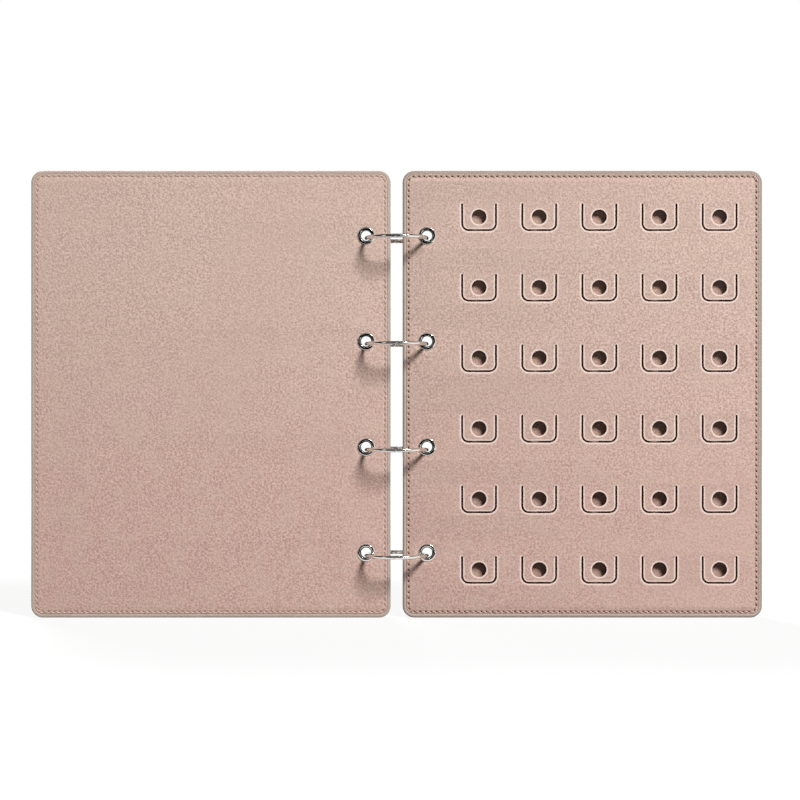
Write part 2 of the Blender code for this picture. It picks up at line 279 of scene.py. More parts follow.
def turned_solid(profile: Array, sides: int) -> tuple[Array, Array, Array]:
    """A profile of (radius, height), then its mirror image below, carried round its axis.

    Each point goes to (radius * cos a, radius * sin a, height), for each angle a of its ring.

    Args:
        profile: Points of the upper half, shaped (rows, 2).
        sides: How many points each ring has; the first lies at angle 0.

    Returns:
        The two coordinates across the axis, and the height along it as a column.
    """
    loop = np.concatenate([profile, profile[::-1] * [1, -1]])
    angle = full_turn(sides)
    return loop[:, :1] * np.cos(angle), loop[:, :1] * np.sin(angle), loop[:, 1:]


def cut_edge(sheet: Box, radius: float) -> tuple[Array, Array]:
    """Inset and depth over a flat sheet's edge: a slight round, then straight to the back.

    Args:
        sheet: The sheet's box.
        radius: How far its front edge is rounded.

    Returns:
        Two columns of numbers, for Walk.at.
    """
    inset, down = rounded_edge(radius, 2)
    return np.append(inset, 0)[:, None], np.append(sheet.low.y + down, sheet.high.y)[:, None]


def between(start: Array, end: Array, steps: int) -> Array:
    """Rows strictly between two rows: start * (1 - w) + end * w, w in even steps."""
    share = np.linspace(0, 1, steps + 2)[1:-1, None, None]
    return start * (1 - share) + end * share


def bell(distance: Array, width: float) -> Array:
    """A smooth hump, 1 at distance 0: e to the minus (distance / width) squared."""
    return np.exp(-((distance / width) ** 2))


def wobble(stations: int, seed: int, amplitude: float, waves: int = 7) -> Array:
    """A seamless small unevenness round a loop.

    It is a sum of sines with whole numbers of waves, falling sizes and seeded phases.

    Args:
        stations: How many points the loop has.
        seed: Picks the phases.
        amplitude: About the largest value, in metres.
        waves: How many sines are summed.

    Returns:
        One value for each station.
    """
    phases = np.random.default_rng(seed).uniform(0, 2 * math.pi, waves)
    turns = np.arange(2, waves + 2)
    angle = full_turn(stations)[:, None] * turns + phases
    return amplitude * (np.sin(angle) / np.sqrt(turns)).sum(axis=1) / 2


@dataclass(frozen=True)
class Walk:
    """Stations along an outline, each at core + (radius - inset * rounding) * normal.

    The rounding is 1 where the edge is rounded over and 0 where it is cut square.
    """

    core: Array
    normal: Array
    radius: Array
    rounding: Array

    @classmethod
    def turned(cls, core: Array, angle: Array, radius: Array, rounding: Array) -> "Walk":
        """Stations whose normals are given as angles from x, in radians."""
        return cls(core, side_by_side(np.cos(angle), np.sin(angle)), radius, rounding)

    @property
    def count(self) -> int:
        """How many stations there are."""
        return len(self.radius)

    @property
    def line(self) -> Array:
        """The outline itself, as x and z."""
        return self.core + self.radius[:, None] * self.normal

    def reversed(self) -> "Walk":
        """The same stations in the other direction."""
        return Walk(self.core[::-1], self.normal[::-1], self.radius[::-1], self.rounding[::-1])

    def facing_out(self) -> "Walk":
        """The same stations with insets that run out of the outline, for a hole."""
        return Walk(self.core, -self.normal, -self.radius, self.rounding)

    def at(self, inset: Array, y: Array | float) -> Array:
        """Points for rows of insets and depths.

        Args:
            inset: Metres in from the outline, shaped (rows, 1) or (rows, stations).
            y: Depths, of a shape that goes with the insets.

        Returns:
            Points, shaped (rows, stations, 3).
        """
        reach = (self.radius - inset * self.rounding)[..., None]
        flat = self.core + reach * self.normal
        return side_by_side(flat[..., 0], y, flat[..., 1])


def ring_walk(x: float, z: float, radius: float, count: int) -> Walk:
    """A round hole, clockwise from the front. Its inset runs outwards, into the sheet."""
    core, angle = np.tile([x, z], (count, 1)), -full_turn(count)
    return Walk.turned(core, angle, np.full(count, radius), np.ones(count)).facing_out()


def rectangle_walk(
    centre: tuple[float, float], width: float, height: float, radius: float, line: float, count: int
) -> Walk:
    """A rounded rectangle, counter-clockwise, with its stations evenly spaced on one inset line.

    Its knots part straight runs, on which the core moves, from corners, on which the angle turns.

    Args:
        centre: x and z of its middle.
        width: Its whole width.
        height: Its whole height.
        radius: Its corners' radius.
        line: The inset on which the stations are evenly spaced.
        count: How many stations it has.

    Returns:
        The stations.
    """
    half = np.array([width / 2 - radius, height / 2 - radius])
    corner = (radius - line) * math.pi / 2
    knots = np.concatenate([[0], np.cumsum([2 * half[0], corner, 2 * half[1], corner] * 2)])
    side_x = [-1, 1, 1, 1, 1, -1, -1, -1, -1]
    side_z = [-1, -1, -1, 1, 1, 1, 1, -1, -1]
    degrees = [-90, -90, 0, 0, 90, 90, 180, 180, 270]
    stations = np.linspace(0, knots[-1], count, endpoint=False)
    core = side_by_side(
        np.interp(stations, knots, [centre[0] + half[0] * side for side in side_x]),
        np.interp(stations, knots, [centre[1] + half[1] * side for side in side_z]),
    )
    angle = np.radians(np.interp(stations, knots, degrees))
    return Walk.turned(core, angle, np.full(count, radius), np.ones(count))


def closed_sheet(
    draft: Draft,
    borders: list[Array],
    facing: Facing,
    marks: list[Array | None] | None = None,
    dents: list[Array] | None = None,
) -> None:
    """A closed sheet: each border runs from the sheet's field over the edge to its underside.

    Args:
        draft: Where the sheet is added.
        borders: Grids whose first row lies in the field and whose last row lies in the
            underside. The first grid is the outline, counter-clockwise; the others are holes,
            clockwise.
        facing: The way the field looks.
        marks: Numbers for the points of each border, or None where it has none.
        dents: Grids, clockwise, that run from the field down to the flat ground of a dent.
    """
    flip = facing is Facing.BACK
    marks = marks or [None] * len(borders)
    loops = [draft.lattice(grid, flip, marks=mark) for grid, mark in zip(borders, marks)]
    sunk = [draft.lattice(grid, flip) for grid in dents or []]
    draft.fill([loop[0] for loop in loops + sunk], facing)
    draft.fill([loop[-1] for loop in loops], Facing.FRONT if flip else Facing.BACK)
    for loop in sunk:
        draft.fill([loop[-1]], facing)


def socket_name(key: str) -> str:
    """A socket's name from a keyword: specular_ior_level stands for Specular IOR Level."""
    return key.replace("_", " ").title().replace("Ior", "IOR")


class NodeBook:
    """Short-hand for wiring one node tree."""

    def __init__(self, tree: bpy.types.NodeTree) -> None:
        """Takes a tree, and the coordinates of the object that it colours."""
        self.tree = tree
        self.coordinates = self.add("TexCoord").outputs["Object"]

    def add(self, kind: str, **settings: object) -> bpy.types.Node:
        """Adds a node. Settings name its properties, or its sockets in lower case.

        Args:
            kind: The node's type, without ShaderNode.
            **settings: Its properties and plain inputs.

        Returns:
            The node.
        """
        node = self.tree.nodes.new(f"ShaderNode{kind}")
        for key, value in settings.items():
            if hasattr(node, key):
                setattr(node, key, value)
            else:
                node.inputs[socket_name(key)].default_value = value
        return node

    def feed(self, socket: Socket, value: Socket | float | Colour) -> None:
        """Links an input to an output, or sets it to a number or a colour.

        Args:
            socket: The input.
            value: An output, a number or a colour.
        """
        if isinstance(value, Socket):
            self.tree.links.new(value, socket)
        else:
            socket.default_value = (*value, 1.0) if isinstance(value, tuple) else value

    def noise(
        self,
        size: float,
        detail: float = 3.0,
        roughness: float = 0.55,
        stretch: tuple[float, float, float] = (1, 1, 1),
    ) -> Socket:
        """A noise pattern on the object's own coordinates.

        Args:
            size: The size of its largest features, in metres.
            detail: How many finer layers it has.
            roughness: How strong the finer layers are.
            stretch: How much denser the pattern is along each axis.

        Returns:
            The value socket, from 0 to 1 about 0.5.
        """
        mapping = self.add("Mapping", scale=stretch)
        self.feed(mapping.inputs["Vector"], self.coordinates)
        noise = self.add("TexNoise", scale=1 / size, detail=detail, roughness=roughness)
        self.feed(noise.inputs["Vector"], mapping.outputs["Vector"])
        return noise.outputs["Fac"]

    def height(self) -> Socket:
        """The height above the bottom edge, in metres.

        Returns:
            The height pattern.
        """
        split = self.add("SeparateXYZ")
        self.feed(split.inputs[0], self.coordinates)
        return split.outputs["Z"]

    def attribute(self, name: str) -> Socket:
        """The value of a mesh attribute."""
        return self.add("Attribute", attribute_name=name).outputs["Fac"]

    def span(self, value: Socket, start: float, end: float, low: float, high: float) -> Socket:
        """Maps start..end smoothly to low..high.

        Args:
            value: The pattern.
            start: The value that gives low.
            end: The value that gives high.
            low: The result up to start.
            high: The result from end on.

        Returns:
            The mapped pattern.
        """
        ends = {"from_min": start, "from_max": end, "to_min": low, "to_max": high}
        node = self.add("MapRange", interpolation_type="SMOOTHSTEP", **ends)
        self.feed(node.inputs["Value"], value)
        return node.outputs["Result"]

    def math(self, operation: str, *values: Socket | float) -> Socket:
        """One arithmetic step on patterns and numbers.

        Args:
            operation: The step, in capitals.
            *values: What it works on, in order.

        Returns:
            The result.
        """
        node = self.add("Math", operation=operation)
        for socket, value in zip(node.inputs, values):
            self.feed(socket, value)
        return node.outputs["Value"]

    def blend(self, factor: Socket, first: Colour | Socket, second: Colour | Socket) -> Socket:
        """A colour from the first to the second as the factor goes from 0 to 1.

        Args:
            factor: The share of the second colour.
            first: The colour at 0.
            second: The colour at 1.

        Returns:
            The mixed colour.
        """
        node = self.add("Mix", data_type="RGBA")
        self.feed(node.inputs["Factor"], factor)
        self.feed(node.inputs[MIX_FIRST], first)
        self.feed(node.inputs[MIX_SECOND], second)
        return node.outputs[MIX_RESULT]

    def bump(self, height: Socket, depth: float, strength: float = 1.0) -> Socket:
        """A bumped normal; depth is the height of a full step from 0 to 1, in metres.

        Args:
            height: The height pattern.
            depth: The height of its full step.
            strength: How much of it shows.

        Returns:
            The normal.
        """
        node = self.add("Bump", strength=strength, distance=depth)
        self.feed(node.inputs["Height"], height)
        return node.outputs["Normal"]


class Coat(NodeBook):
    """The node book of one material, with its Principled shader."""

    def __init__(self, name: str) -> None:
        """Starts the material.

        Args:
            name: The material's name.
        """
        self.material = bpy.data.materials.new(name)
        self.material.use_nodes = True
        self.shader = self.material.node_tree.nodes["Principled BSDF"]
        super().__init__(self.material.node_tree)

    def finish(self, **inputs: Socket | float | Colour) -> Material:
        """Feeds the shader's inputs, named in lower case, and gives the material."""
        for key, value in inputs.items():
            self.feed(self.shader.inputs[socket_name(key)], value)
        return self.material


@dataclass(frozen=True)
class Felt:
    """Dense pressed felt: a mottled short nap with finer fibres in it.

    A ramp is the span of a pattern's values over which its second colour sets in.
    """

    name: str = "felt"
    shade: Colour = (0.430, 0.306, 0.256)
    light: Colour = (0.720, 0.542, 0.464)
    # The lower colours are pinker and also darker: painted shade towards the bottom.
    blush_and_shade_dark: Colour = (0.424, 0.269, 0.230)
    blush_and_shade_light: Colour = (0.700, 0.477, 0.418)
    straw: Colour = (0.590, 0.458, 0.374)
    worn: Colour = (0.560, 0.396, 0.338)
    # Painted highlight on the flat felt beside each cut.
    fluff: Colour = (0.860, 0.700, 0.625)
    # Painted shade in the needle holes and down the cuts' walls.
    pit: Colour = (0.072, 0.021, 0.010)
    blush_and_shade_ramp: Ramp = (20 * MM, 210 * MM)
    speckle_ramp: Ramp = (0.31, 0.69)
    blotch_ramp: Ramp = (0.42, 0.66)
    patch_ramp: Ramp = (0.35, 0.75)
    fibre_share: float = 0.4
    blotch_share: float = 0.30
    patch_share: float = 0.40
    mottle_size: float = 1.05 * MM
    fibre_size: float = 0.36 * MM
    blotch_size: float = 13 * MM
    patch_size: float = 95 * MM
    nap_depth: float = 0.20 * MM
    nap_strength: float = 0.75
    fibre_depth: float = 0.07 * MM
    sheen: float = 0.22

    def material(self) -> Material:
        """Mottle, fibres, blotches and wide patches; pinker, and darker as painted shade, near the
        bottom.

        The attribute pit is 1 for painted shade in a needle hole and down a cut's wall, and -1 for
        a painted highlight on the flat felt beside a cut.

        Returns:
            The felt.
        """
        book = Coat(self.name)
        mottle = book.noise(self.mottle_size, detail=2.5, roughness=0.6)
        fibre = book.noise(self.fibre_size, detail=2.0, roughness=0.65, stretch=(1, 1, 0.6))
        blotch = book.noise(self.blotch_size, detail=2.0)
        patch = book.noise(self.patch_size, detail=2.0, roughness=0.5)
        grain = book.math("MULTIPLY_ADD", fibre, self.fibre_share, -self.fibre_share / 2)
        speckle = book.span(book.math("ADD", mottle, grain), *self.speckle_ramp, 0.0, 1.0)
        # Pinker towards the bottom, and darker there as painted shade.
        nap = book.blend(
            book.span(book.height(), *self.blush_and_shade_ramp, 1.0, 0.0),
            book.blend(speckle, self.shade, self.light),
            book.blend(speckle, self.blush_and_shade_dark, self.blush_and_shade_light),
        )
        blotched = book.span(blotch, *self.blotch_ramp, 0.0, self.blotch_share)
        rubbed = book.span(patch, *self.patch_ramp, 0.0, self.patch_share)
        cloth = book.blend(rubbed, book.blend(blotched, nap, self.straw), self.worn)
        mark = book.attribute("pit")
        # Painted highlight where the mark is below 0, painted shade where it is above 0.
        fluffed = book.blend(book.math("MULTIPLY", mark, -1.0), cloth, self.fluff)
        fine = book.math("MULTIPLY", fibre, self.fibre_depth / self.nap_depth)
        return book.finish(
            base_color=book.blend(mark, fluffed, self.pit),
            normal=book.bump(book.math("ADD", mottle, fine), self.nap_depth, self.nap_strength),
            roughness=0.94,
            sheen_weight=book.span(mark, 0.0, 1.0, self.sheen, 0.0),
            sheen_roughness=0.55,
            sheen_tint=(1.0, 0.90, 0.85),
            specular_ior_level=0.0,
        )


@dataclass(frozen=True)
class Leather:
    """Coated leather cloth with a pebble grain, and painted shade in its creases and along its turned
    edge.
    """

    name: str = "outer_skin"
    light: Colour = (0.560, 0.450, 0.385)
    shade: Colour = (0.470, 0.370, 0.312)
    # Painted shade on the outer wall and its rounded lip, and in the back's needle holes.
    edge: Colour = (0.200, 0.160, 0.135)
    pebble_size: float = 0.85 * MM
    fine_size: float = 0.25 * MM
    patch_size: float = 14 * MM
    crease_ramp: Ramp = (0.0, 0.22)
    patch_ramp: Ramp = (0.35, 0.65)
    # Painted shade in the creases between the pebbles.
    crease_shade_share: float = 0.55
    patch_share: float = 0.45
    fine_share: float = 0.25
    warp_share: float = 0.5
    rough: Ramp = (0.72, 0.52)
    grain_depth: float = 0.07 * MM
    grain_strength: float = 0.8

    def material(self) -> Material:
        """Pebbles with painted shade in the creases between them; the attribute edge adds painted
        shade on the outer wall and in the needle holes.

        Returns:
            The leather cloth.
        """
        book = Coat(self.name)
        moved = book.add("VectorMath", operation="MULTIPLY_ADD")
        book.feed(moved.inputs[0], book.noise(self.pebble_size * 2, detail=2))
        moved.inputs[1].default_value = (self.pebble_size * self.warp_share,) * 3
        book.feed(moved.inputs[2], book.coordinates)
        cells = book.add("TexVoronoi", feature="DISTANCE_TO_EDGE", scale=1 / self.pebble_size)
        book.feed(cells.inputs["Vector"], moved.outputs[0])
        crease = book.span(cells.outputs["Distance"], *self.crease_ramp, 0.0, 1.0)
        patch = book.span(book.noise(self.patch_size, detail=3), *self.patch_ramp, 0.0, 1.0)
        # Painted shade: darker in the creases between the pebbles.
        crease_shade = book.math("MULTIPLY", crease, self.crease_shade_share)
        patch_tone = book.math("MULTIPLY", patch, self.patch_share)
        skin = book.blend(book.math("ADD", crease_shade, patch_tone), self.shade, self.light)
        fine = book.math("MULTIPLY", book.noise(self.fine_size, detail=2), self.fine_share)
        return book.finish(
            base_color=book.blend(book.attribute("edge"), skin, self.edge),
            normal=book.bump(book.math("ADD", crease, fine), self.grain_depth, self.grain_strength),
            roughness=book.span(crease, 0.0, 1.0, *self.rough),
            specular_ior_level=0.45,
        )


@dataclass(frozen=True)
class Nickel:
    """Polished nickel plate with faint rubbing marks."""

    name: str = "nickel"
    bright: Colour = (0.82, 0.80, 0.76)
    dull: Colour = (0.68, 0.66, 0.62)
    # Painted shade in the eyelets' throats.
    bore: Colour = (0.045, 0.038, 0.034)
    dull_ramp: Ramp = (0.4, 0.7)
    dull_share: float = 0.5
    rough_ramp: Ramp = (0.3, 0.75)
    rough: Ramp = (0.07, 0.16)
    rub_size: float = 1.6 * MM
    scratch_size: float = 0.12 * MM
    scratch_depth: float = 0.002 * MM
    scratch_strength: float = 0.5

    def material(self) -> Material:
        """A bright metal with soft dull patches; the attribute bore is painted shade in the eyelets'
        throats.

        Returns:
            The metal.
        """
        book = Coat(self.name)
        rub = book.noise(self.rub_size, detail=3)
        lines = book.noise(self.scratch_size, detail=1, stretch=(1, 1, 0.12))
        rubbed = book.span(rub, *self.dull_ramp, 0.0, self.dull_share)
        plate = book.blend(rubbed, self.bright, self.dull)
        return book.finish(
            base_color=book.blend(book.attribute("bore"), plate, self.bore),
            normal=book.bump(lines, self.scratch_depth, self.scratch_strength),
            roughness=book.span(rub, *self.rough_ramp, *self.rough),
            metallic=1.0,
        )


@dataclass(frozen=True)
class Thread:
    """Twisted two-ply sewing thread."""

    name: str
    light: Colour
    shade: Colour
    fuzz_share: float = 0.5
    ply_ramp: Ramp = (0.0, 0.9)
    ply_size: float = 0.16 * MM
    ply_relief: float = 0.4
    ply_strength: float = 0.8
    fuzz_size: float = 0.08 * MM

    def material(self) -> Material:
        """The attribute ply runs up and down across the twist; the darker colour in the grooves
        between the plies is painted shade.

        Returns:
            The thread.
        """
        book = Coat(self.name)
        fuzz = book.noise(self.fuzz_size, detail=2)
        fuzz = book.math("MULTIPLY_ADD", fuzz, self.fuzz_share, -self.fuzz_share / 2)
        ply = book.math("ADD", book.attribute("ply"), fuzz)
        return book.finish(
            base_color=book.blend(book.span(ply, *self.ply_ramp, 0.0, 1.0), self.shade, self.light),
            normal=book.bump(ply, self.ply_size * self.ply_relief, self.ply_strength),
            roughness=0.75,
            sheen_weight=0.15,
        )


@dataclass(frozen=True)
class Pressed:
    """A plain matt core sheet: greyboard, or the sheet that the pockets are cut from, whose dark brown
    is painted shade.
    """

    name: str
    light: Colour
    shade: Colour
    fleck_size: float
    pore_depth: float
    fleck_ramp: Ramp = (0.35, 0.65)

    def material(self) -> Material:
        """Flecks of two tones with a matching fine unevenness.

        Returns:
            The core sheet's finish.
        """
        book = Coat(self.name)
        fleck = book.noise(self.fleck_size, detail=3, roughness=0.65)
        colour = book.blend(book.span(fleck, *self.fleck_ramp, 0.0, 1.0), self.shade, self.light)
        normal = book.bump(fleck, self.pore_depth)
        return book.finish(base_color=colour, normal=normal, roughness=0.92)


@dataclass(frozen=True)
class Finishes:
    """Every material of the booklet, made once."""

    felt: Material
    floor_felt: Material
    leather: Material
    nickel: Material
    face_thread: Material
    core: Material
    board: Material

    @classmethod
    def make(cls) -> "Finishes":
        """Builds the materials.

        Returns:
            All finishes.
        """
        return cls(
            felt=Felt().material(),
            # Painted shade: the pocket floor is a darker, redder copy of the lining felt, darker still
            # towards the bottom, for the shade inside the pockets.
            floor_felt=Felt(
                "floor_felt",
                shade=(0.400, 0.258, 0.203),
                light=(0.640, 0.443, 0.362),
                blush_and_shade_dark=(0.330, 0.202, 0.158),
                blush_and_shade_light=(0.530, 0.350, 0.285),
                sheen=0.04,
            ).material(),
            leather=Leather().material(),
            nickel=Nickel().material(),
            # Painted shade: the thread is darker in the grooves between its plies.
            face_thread=Thread("thread", (0.720, 0.560, 0.460), (0.400, 0.265, 0.205)).material(),
            # Painted shade: the pocket sheet is dark red-brown so that the pockets' walls look shaded.
            core=Pressed(
                "spacer", (0.200, 0.095, 0.060), (0.100, 0.042, 0.026), 0.5 * MM, 0.08 * MM
            ).material(),
            board=Pressed(
                "board", (0.340, 0.305, 0.262), (0.235, 0.210, 0.178), 0.7 * MM, 0.05 * MM
            ).material(),
        )


@dataclass(frozen=True)
class Seam:
    """The lockstitch round a leaf: a sunken line with a needle hole between two stitches."""

    inset: float = 3.0 * MM
    pitch: float = 2.87 * MM
    samples: int = 7
    groove_depth: float = 0.20 * MM
    groove_width: float = 0.45 * MM
    slope_depth: float = 0.10 * MM
    slope_width: float = 1.5 * MM
    pit_depth: float = 0.55 * MM
    pit_width: float = 0.34 * MM
    pit_length: float = 0.56 * MM
    # Painted shade in the needle holes.
    pit_shade: float = 1.35
    thread_radius: float = 0.21 * MM
    thread_lift: float = 0.02 * MM
    thread_dive: float = 0.62 * MM
    thread_share: float = 0.82
    sections: int = 7
    sides: int = 8
    fine_steps: int = 40
    ply_turns: float = 1.5
    ply_bulge: float = 0.12

    def stitches(self, width: float, height: float, radius: float) -> int:
        """How many whole stitches go round a leaf of that size.

        Args:
            width: The leaf's width.
            height: The leaf's height.
            radius: The radius of its corners.

        Returns:
            The seam's length over the pitch, rounded.
        """
        straight = 2 * (width + height - 4 * radius)
        length = straight + 2 * math.pi * (radius - self.inset)
        return round(length / self.pitch)

    def sink(self, inset: Array, count: int, pit_share: float) -> tuple[Array, Array]:
        """How far the surface sinks along the seam, and the painted shade in the needle holes.

        Sink = groove bell + wide slope bell, across the line, and a pit bell across and along it.

        Args:
            inset: Metres from the leaf's edge, shaped (rows, 1).
            count: Stations round the leaf.
            pit_share: How deep the pits are, as a share of pit_depth.

        Returns:
            The depth in metres and the painted shade from 0 to 1, each shaped (rows, stations).
        """
        across = inset - self.inset
        phase = (np.arange(count) / self.samples + 0.5) % 1 - 0.5
        pit = bell(across, self.pit_width) * bell(phase * self.pitch, self.pit_length)
        depth = self.groove_depth * bell(across, self.groove_width)
        depth = depth + self.slope_depth * bell(across, self.slope_width)
        return depth + self.pit_depth * pit_share * pit, np.clip(self.pit_shade * pit, 0, 1)

    def threads(self, walk: Walk, face_y: float, facing: Facing) -> tuple[Array, Array]:
        """The stitches of one face: short tubes that arch over the groove and dive at both ends.

        Along a stitch t runs from -1 to 1, the thread's middle rises by lift - dive * |t| ** 3,
        and its wall stands off by its radius, and by ply_bulge more on the two plies of its twist.

        Args:
            walk: Stations round the leaf, one for each section of each stitch.
            face_y: The face's depth.
            facing: The way the face looks.

        Returns:
            Points shaped (stitches, sections, sides, 3), and the ply mark of each.
        """
        count = walk.count // self.sections
        t = np.linspace(-1, 1, self.sections)
        lift = self.thread_lift - self.thread_dive * np.abs(t) ** 3
        centre_y = face_y + facing.value * np.tile(lift, count)
        centre = walk.at(np.full((1, 1), self.inset), centre_y[None])[0]
        out = side_by_side(walk.normal[:, 0], 0, walk.normal[:, 1])
        up = np.array([0, float(facing.value), 0])
        turn = full_turn(self.sides)
        ply = np.cos(2 * (turn - self.ply_turns * math.pi * np.tile(t, count)[:, None]))
        radius = self.thread_radius * (1 + self.ply_bulge * ply)[..., None]
        around = np.cos(turn)[:, None] * out[:, None] + np.sin(turn)[:, None] * up
        points = centre[:, None] + radius * around
        shape = (count, self.sections, self.sides)
        return points.reshape(*shape, 3), (0.5 + 0.5 * ply).reshape(shape)


@dataclass
class Leaf:
    """One leaf: its outer skin with the turned edge, its felt lining, its seam and its eyelets."""

    body: str
    prefix: str
    seam: Seam = Seam()
    corner_radius: float = 6.0 * MM
    field_inset: float = 5.0 * MM
    felt_inset: float = 1.85 * MM
    felt_roll: float = 0.42 * MM
    lip_inner: float = 1.80 * MM
    lip_roll: float = 0.18 * MM
    edge_roll: float = 0.50 * MM
    back_roll: float = 0.60 * MM
    eyelet_sides: int = 56
    barrel_radius: float = 3.5 * MM
    flange_cover: float = 1.0 * MM
    pressed_reach: float = 6.6 * MM
    pressed_depth: float = 0.16 * MM
    skin_thickness: float = 0.60 * MM
    sheet_roll: float = 0.12 * MM
    sheet_stations: int = 400
    roll_steps: int = 4
    press_rows: int = 6
    felt_lines: tuple[float, ...] = (
        1.9, 1.2, 0.85, 0.62, 0.46, 0.33, 0.2, 0.1, 0, -0.1, -0.2, -0.33, -0.46, -0.62
    )
    skin_lines: tuple[float, ...] = (1.5, 0.8, 0.5, 0.34, 0.2, 0.09, 0, -0.09, -0.2, -0.34, -0.5, -0.9)
    pit_share: float = 1.0
    # Painted shade in the felt's needle holes.
    pit_shade: float = 1.0
    # Painted shade on the skin's outer wall and lip.
    edge_shade_tone: float = 1.0
    lip_shade: float = 0.6
    back_pit_share: float = 0.5
    back_seam_share: float = 0.55
    back_pit_shade: float = 0.8

    def __post_init__(self) -> None:
        """Reads the leaf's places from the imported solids."""
        self.skin_box = Box.of(f"{self.prefix}_outer_skin")
        self.lining_box = Box.of(f"{self.prefix}_lining")
        names = [f"{self.prefix}_eyelet_{number}" for number in range(1, RINGS + 1)]
        self.eyelet_boxes = [Box.of(name) for name in names]
        self.front_y, self.lining_back_y = self.lining_box.low.y, self.lining_box.high.y
        self.lip_y, self.back_y = self.skin_box.low.y, self.skin_box.high.y
        self.stitch_count = self.seam.stitches(
            self.skin_box.size.x, self.skin_box.size.z, self.corner_radius
        )

    def outline(self, count: int) -> Walk:
        """The leaf's outline, evenly spaced on its seam.

        Args:
            count: How many stations it has.

        Returns:
            The stations.
        """
        centre, size = self.skin_box.centre, self.skin_box.size
        return rectangle_walk(
            (centre.x, centre.z), size.x, size.z, self.corner_radius, self.seam.inset, count
        )

    def seam_walk(self) -> Walk:
        """The outline with a whole number of stations for each stitch."""
        return self.outline(self.stitch_count * self.seam.samples)

    def barrel_hole(self, box: Box) -> Walk:
        """The hole that an eyelet's barrel goes through."""
        return ring_walk(box.centre.x, box.centre.z, self.barrel_radius, self.eyelet_sides)

    def pressed_holes(self, y: float, under: float, inward: int) -> list[Array]:
        """The four holes, whose rims are pressed down by the eyelets' flanges.

        From the flat field to under the flange a rim sinks by depth * (1 - cos(pi * w)) / 2,
        as w goes from 0 to 1.

        Args:
            y: The field's depth.
            under: The depth of the sheet's other face.
            inward: The sign of y into the sheet.

        Returns:
            The borders, from the field to the underside.
        """
        share = np.linspace(0, 1, self.press_rows)
        reach = (self.pressed_reach - self.barrel_radius) * (1 - share) + self.flange_cover * share
        sink = self.pressed_depth * (1 - np.cos(math.pi * share)) / 2
        inset = np.array([*reach, 0, 0])[:, None]
        depth = np.array([*(y + inward * sink), y + inward * self.pressed_depth, under])[:, None]
        return [self.barrel_hole(box).at(inset, depth) for box in self.eyelet_boxes]

    def seam_field(
        self, count: int, lines: tuple[float, ...], pit_share: float
    ) -> tuple[Array, Array, Array]:
        """The sunken field over the seam, from the flat part outwards.

        Args:
            count: Stations round the leaf.
            lines: Where it is sampled, in millimetres from the stitches towards the field.
            pit_share: How deep the needle holes are, as a share of the seam's pit_depth.

        Returns:
            The insets, and for each station the depths and the painted shade of the needle holes.
        """
        flat = np.array([self.field_inset, *(np.array(lines) * MM + self.seam.inset)])
        depth, dark = self.seam.sink(flat[:, None], count, pit_share)
        depth[0], dark[0] = 0, 0
        return flat, depth, dark

    def lining_border(self) -> tuple[Array, Array]:
        """The felt's border: flat field, sunken seam, rolled edge and cut side.

        Returns:
            The grid from the field to the underside, and the painted shade of its needle holes.
        """
        walk = self.seam_walk()
        flat, depth, dark = self.seam_field(walk.count, self.felt_lines, self.pit_share)
        roll, down = rounded_edge(self.felt_roll, self.roll_steps)
        roll_start = np.full((1, 1), self.felt_inset + self.felt_roll)
        roll_depth = self.seam.sink(roll_start, walk.count, 0)[0] + down[:, None]
        inset = np.array([*flat, *(self.felt_inset + roll), self.felt_inset])[:, None]
        bottom = np.full((1, walk.count), self.lining_back_y - self.front_y)
        y = self.front_y + np.concatenate([depth, roll_depth, bottom])
        marks = np.zeros_like(y)
        # Painted shade in the felt's needle holes.
        marks[: len(dark)] = dark * self.pit_shade
        return walk.at(inset, y), marks

    def lining_windows(self) -> list[tuple[Array, Array]]:
        """Borders of the lining's openings, apart from the eyelets' holes, with their marks."""
        return []

    def make_lining(self, finishes: Finishes) -> Piece:
        """The felt sheet that faces the reader.

        Args:
            finishes: The booklet's finishes.

        Returns:
            The piece.
        """
        draft = Draft()
        border, dark = self.lining_border()
        holes = self.pressed_holes(self.front_y, self.lining_back_y, 1)
        windows = self.lining_windows()
        borders = [border, *holes, *(window for window, _ in windows)]
        marks = [dark, *[None] * len(holes), *(mark for _, mark in windows)]
        closed_sheet(draft, borders, Facing.FRONT, marks)
        return draft.build(f"{self.prefix}_felt_lining", finishes.felt, "pit")

    def skin_profile(self) -> tuple[Array, Array, Array]:
        """(inset, depth, painted edge shade) across the skin, from its back field to its inner floor.

        Returns:
            Three rows of numbers; the painted shade is 1 on the outer wall.
        """
        steps = self.roll_steps
        back_in, back_down = rounded_edge(self.back_roll, steps)
        lip_down, lip_in = rounded_edge(self.edge_roll, steps)
        inner_in, inner_down = rounded_edge(self.lip_roll, steps)
        inset = np.concatenate([back_in, lip_in, self.lip_inner - inner_in, [self.lip_inner]])
        floor_y = self.back_y - self.skin_thickness
        lip_y = self.lip_y + np.concatenate([lip_down, inner_down])
        depth = np.concatenate([self.back_y - back_down, lip_y, [floor_y]])
        wall_shade = np.linspace(0, 1, steps + 1), np.linspace(1, self.lip_shade, steps + 1)
        return inset, depth, np.concatenate([*wall_shade, np.zeros(steps + 2)])

    def make_skin(self, finishes: Finishes) -> Piece:
        """The outer skin: back panel, outer wall and the lip that frames the felt.

        Its border is the sunken back field, then the skin's profile of quarter circles.

        Args:
            finishes: The booklet's finishes.

        Returns:
            The piece.
        """
        walk = self.seam_walk()
        flat, depth, dark = self.seam_field(walk.count, self.skin_lines, self.back_pit_share)
        inset, profile_y, edge_shade = (np.tile(row[:, None], walk.count) for row in self.skin_profile())
        flat = np.tile(flat[:, None], walk.count)
        y = np.concatenate([self.back_y - depth * self.back_seam_share, profile_y])
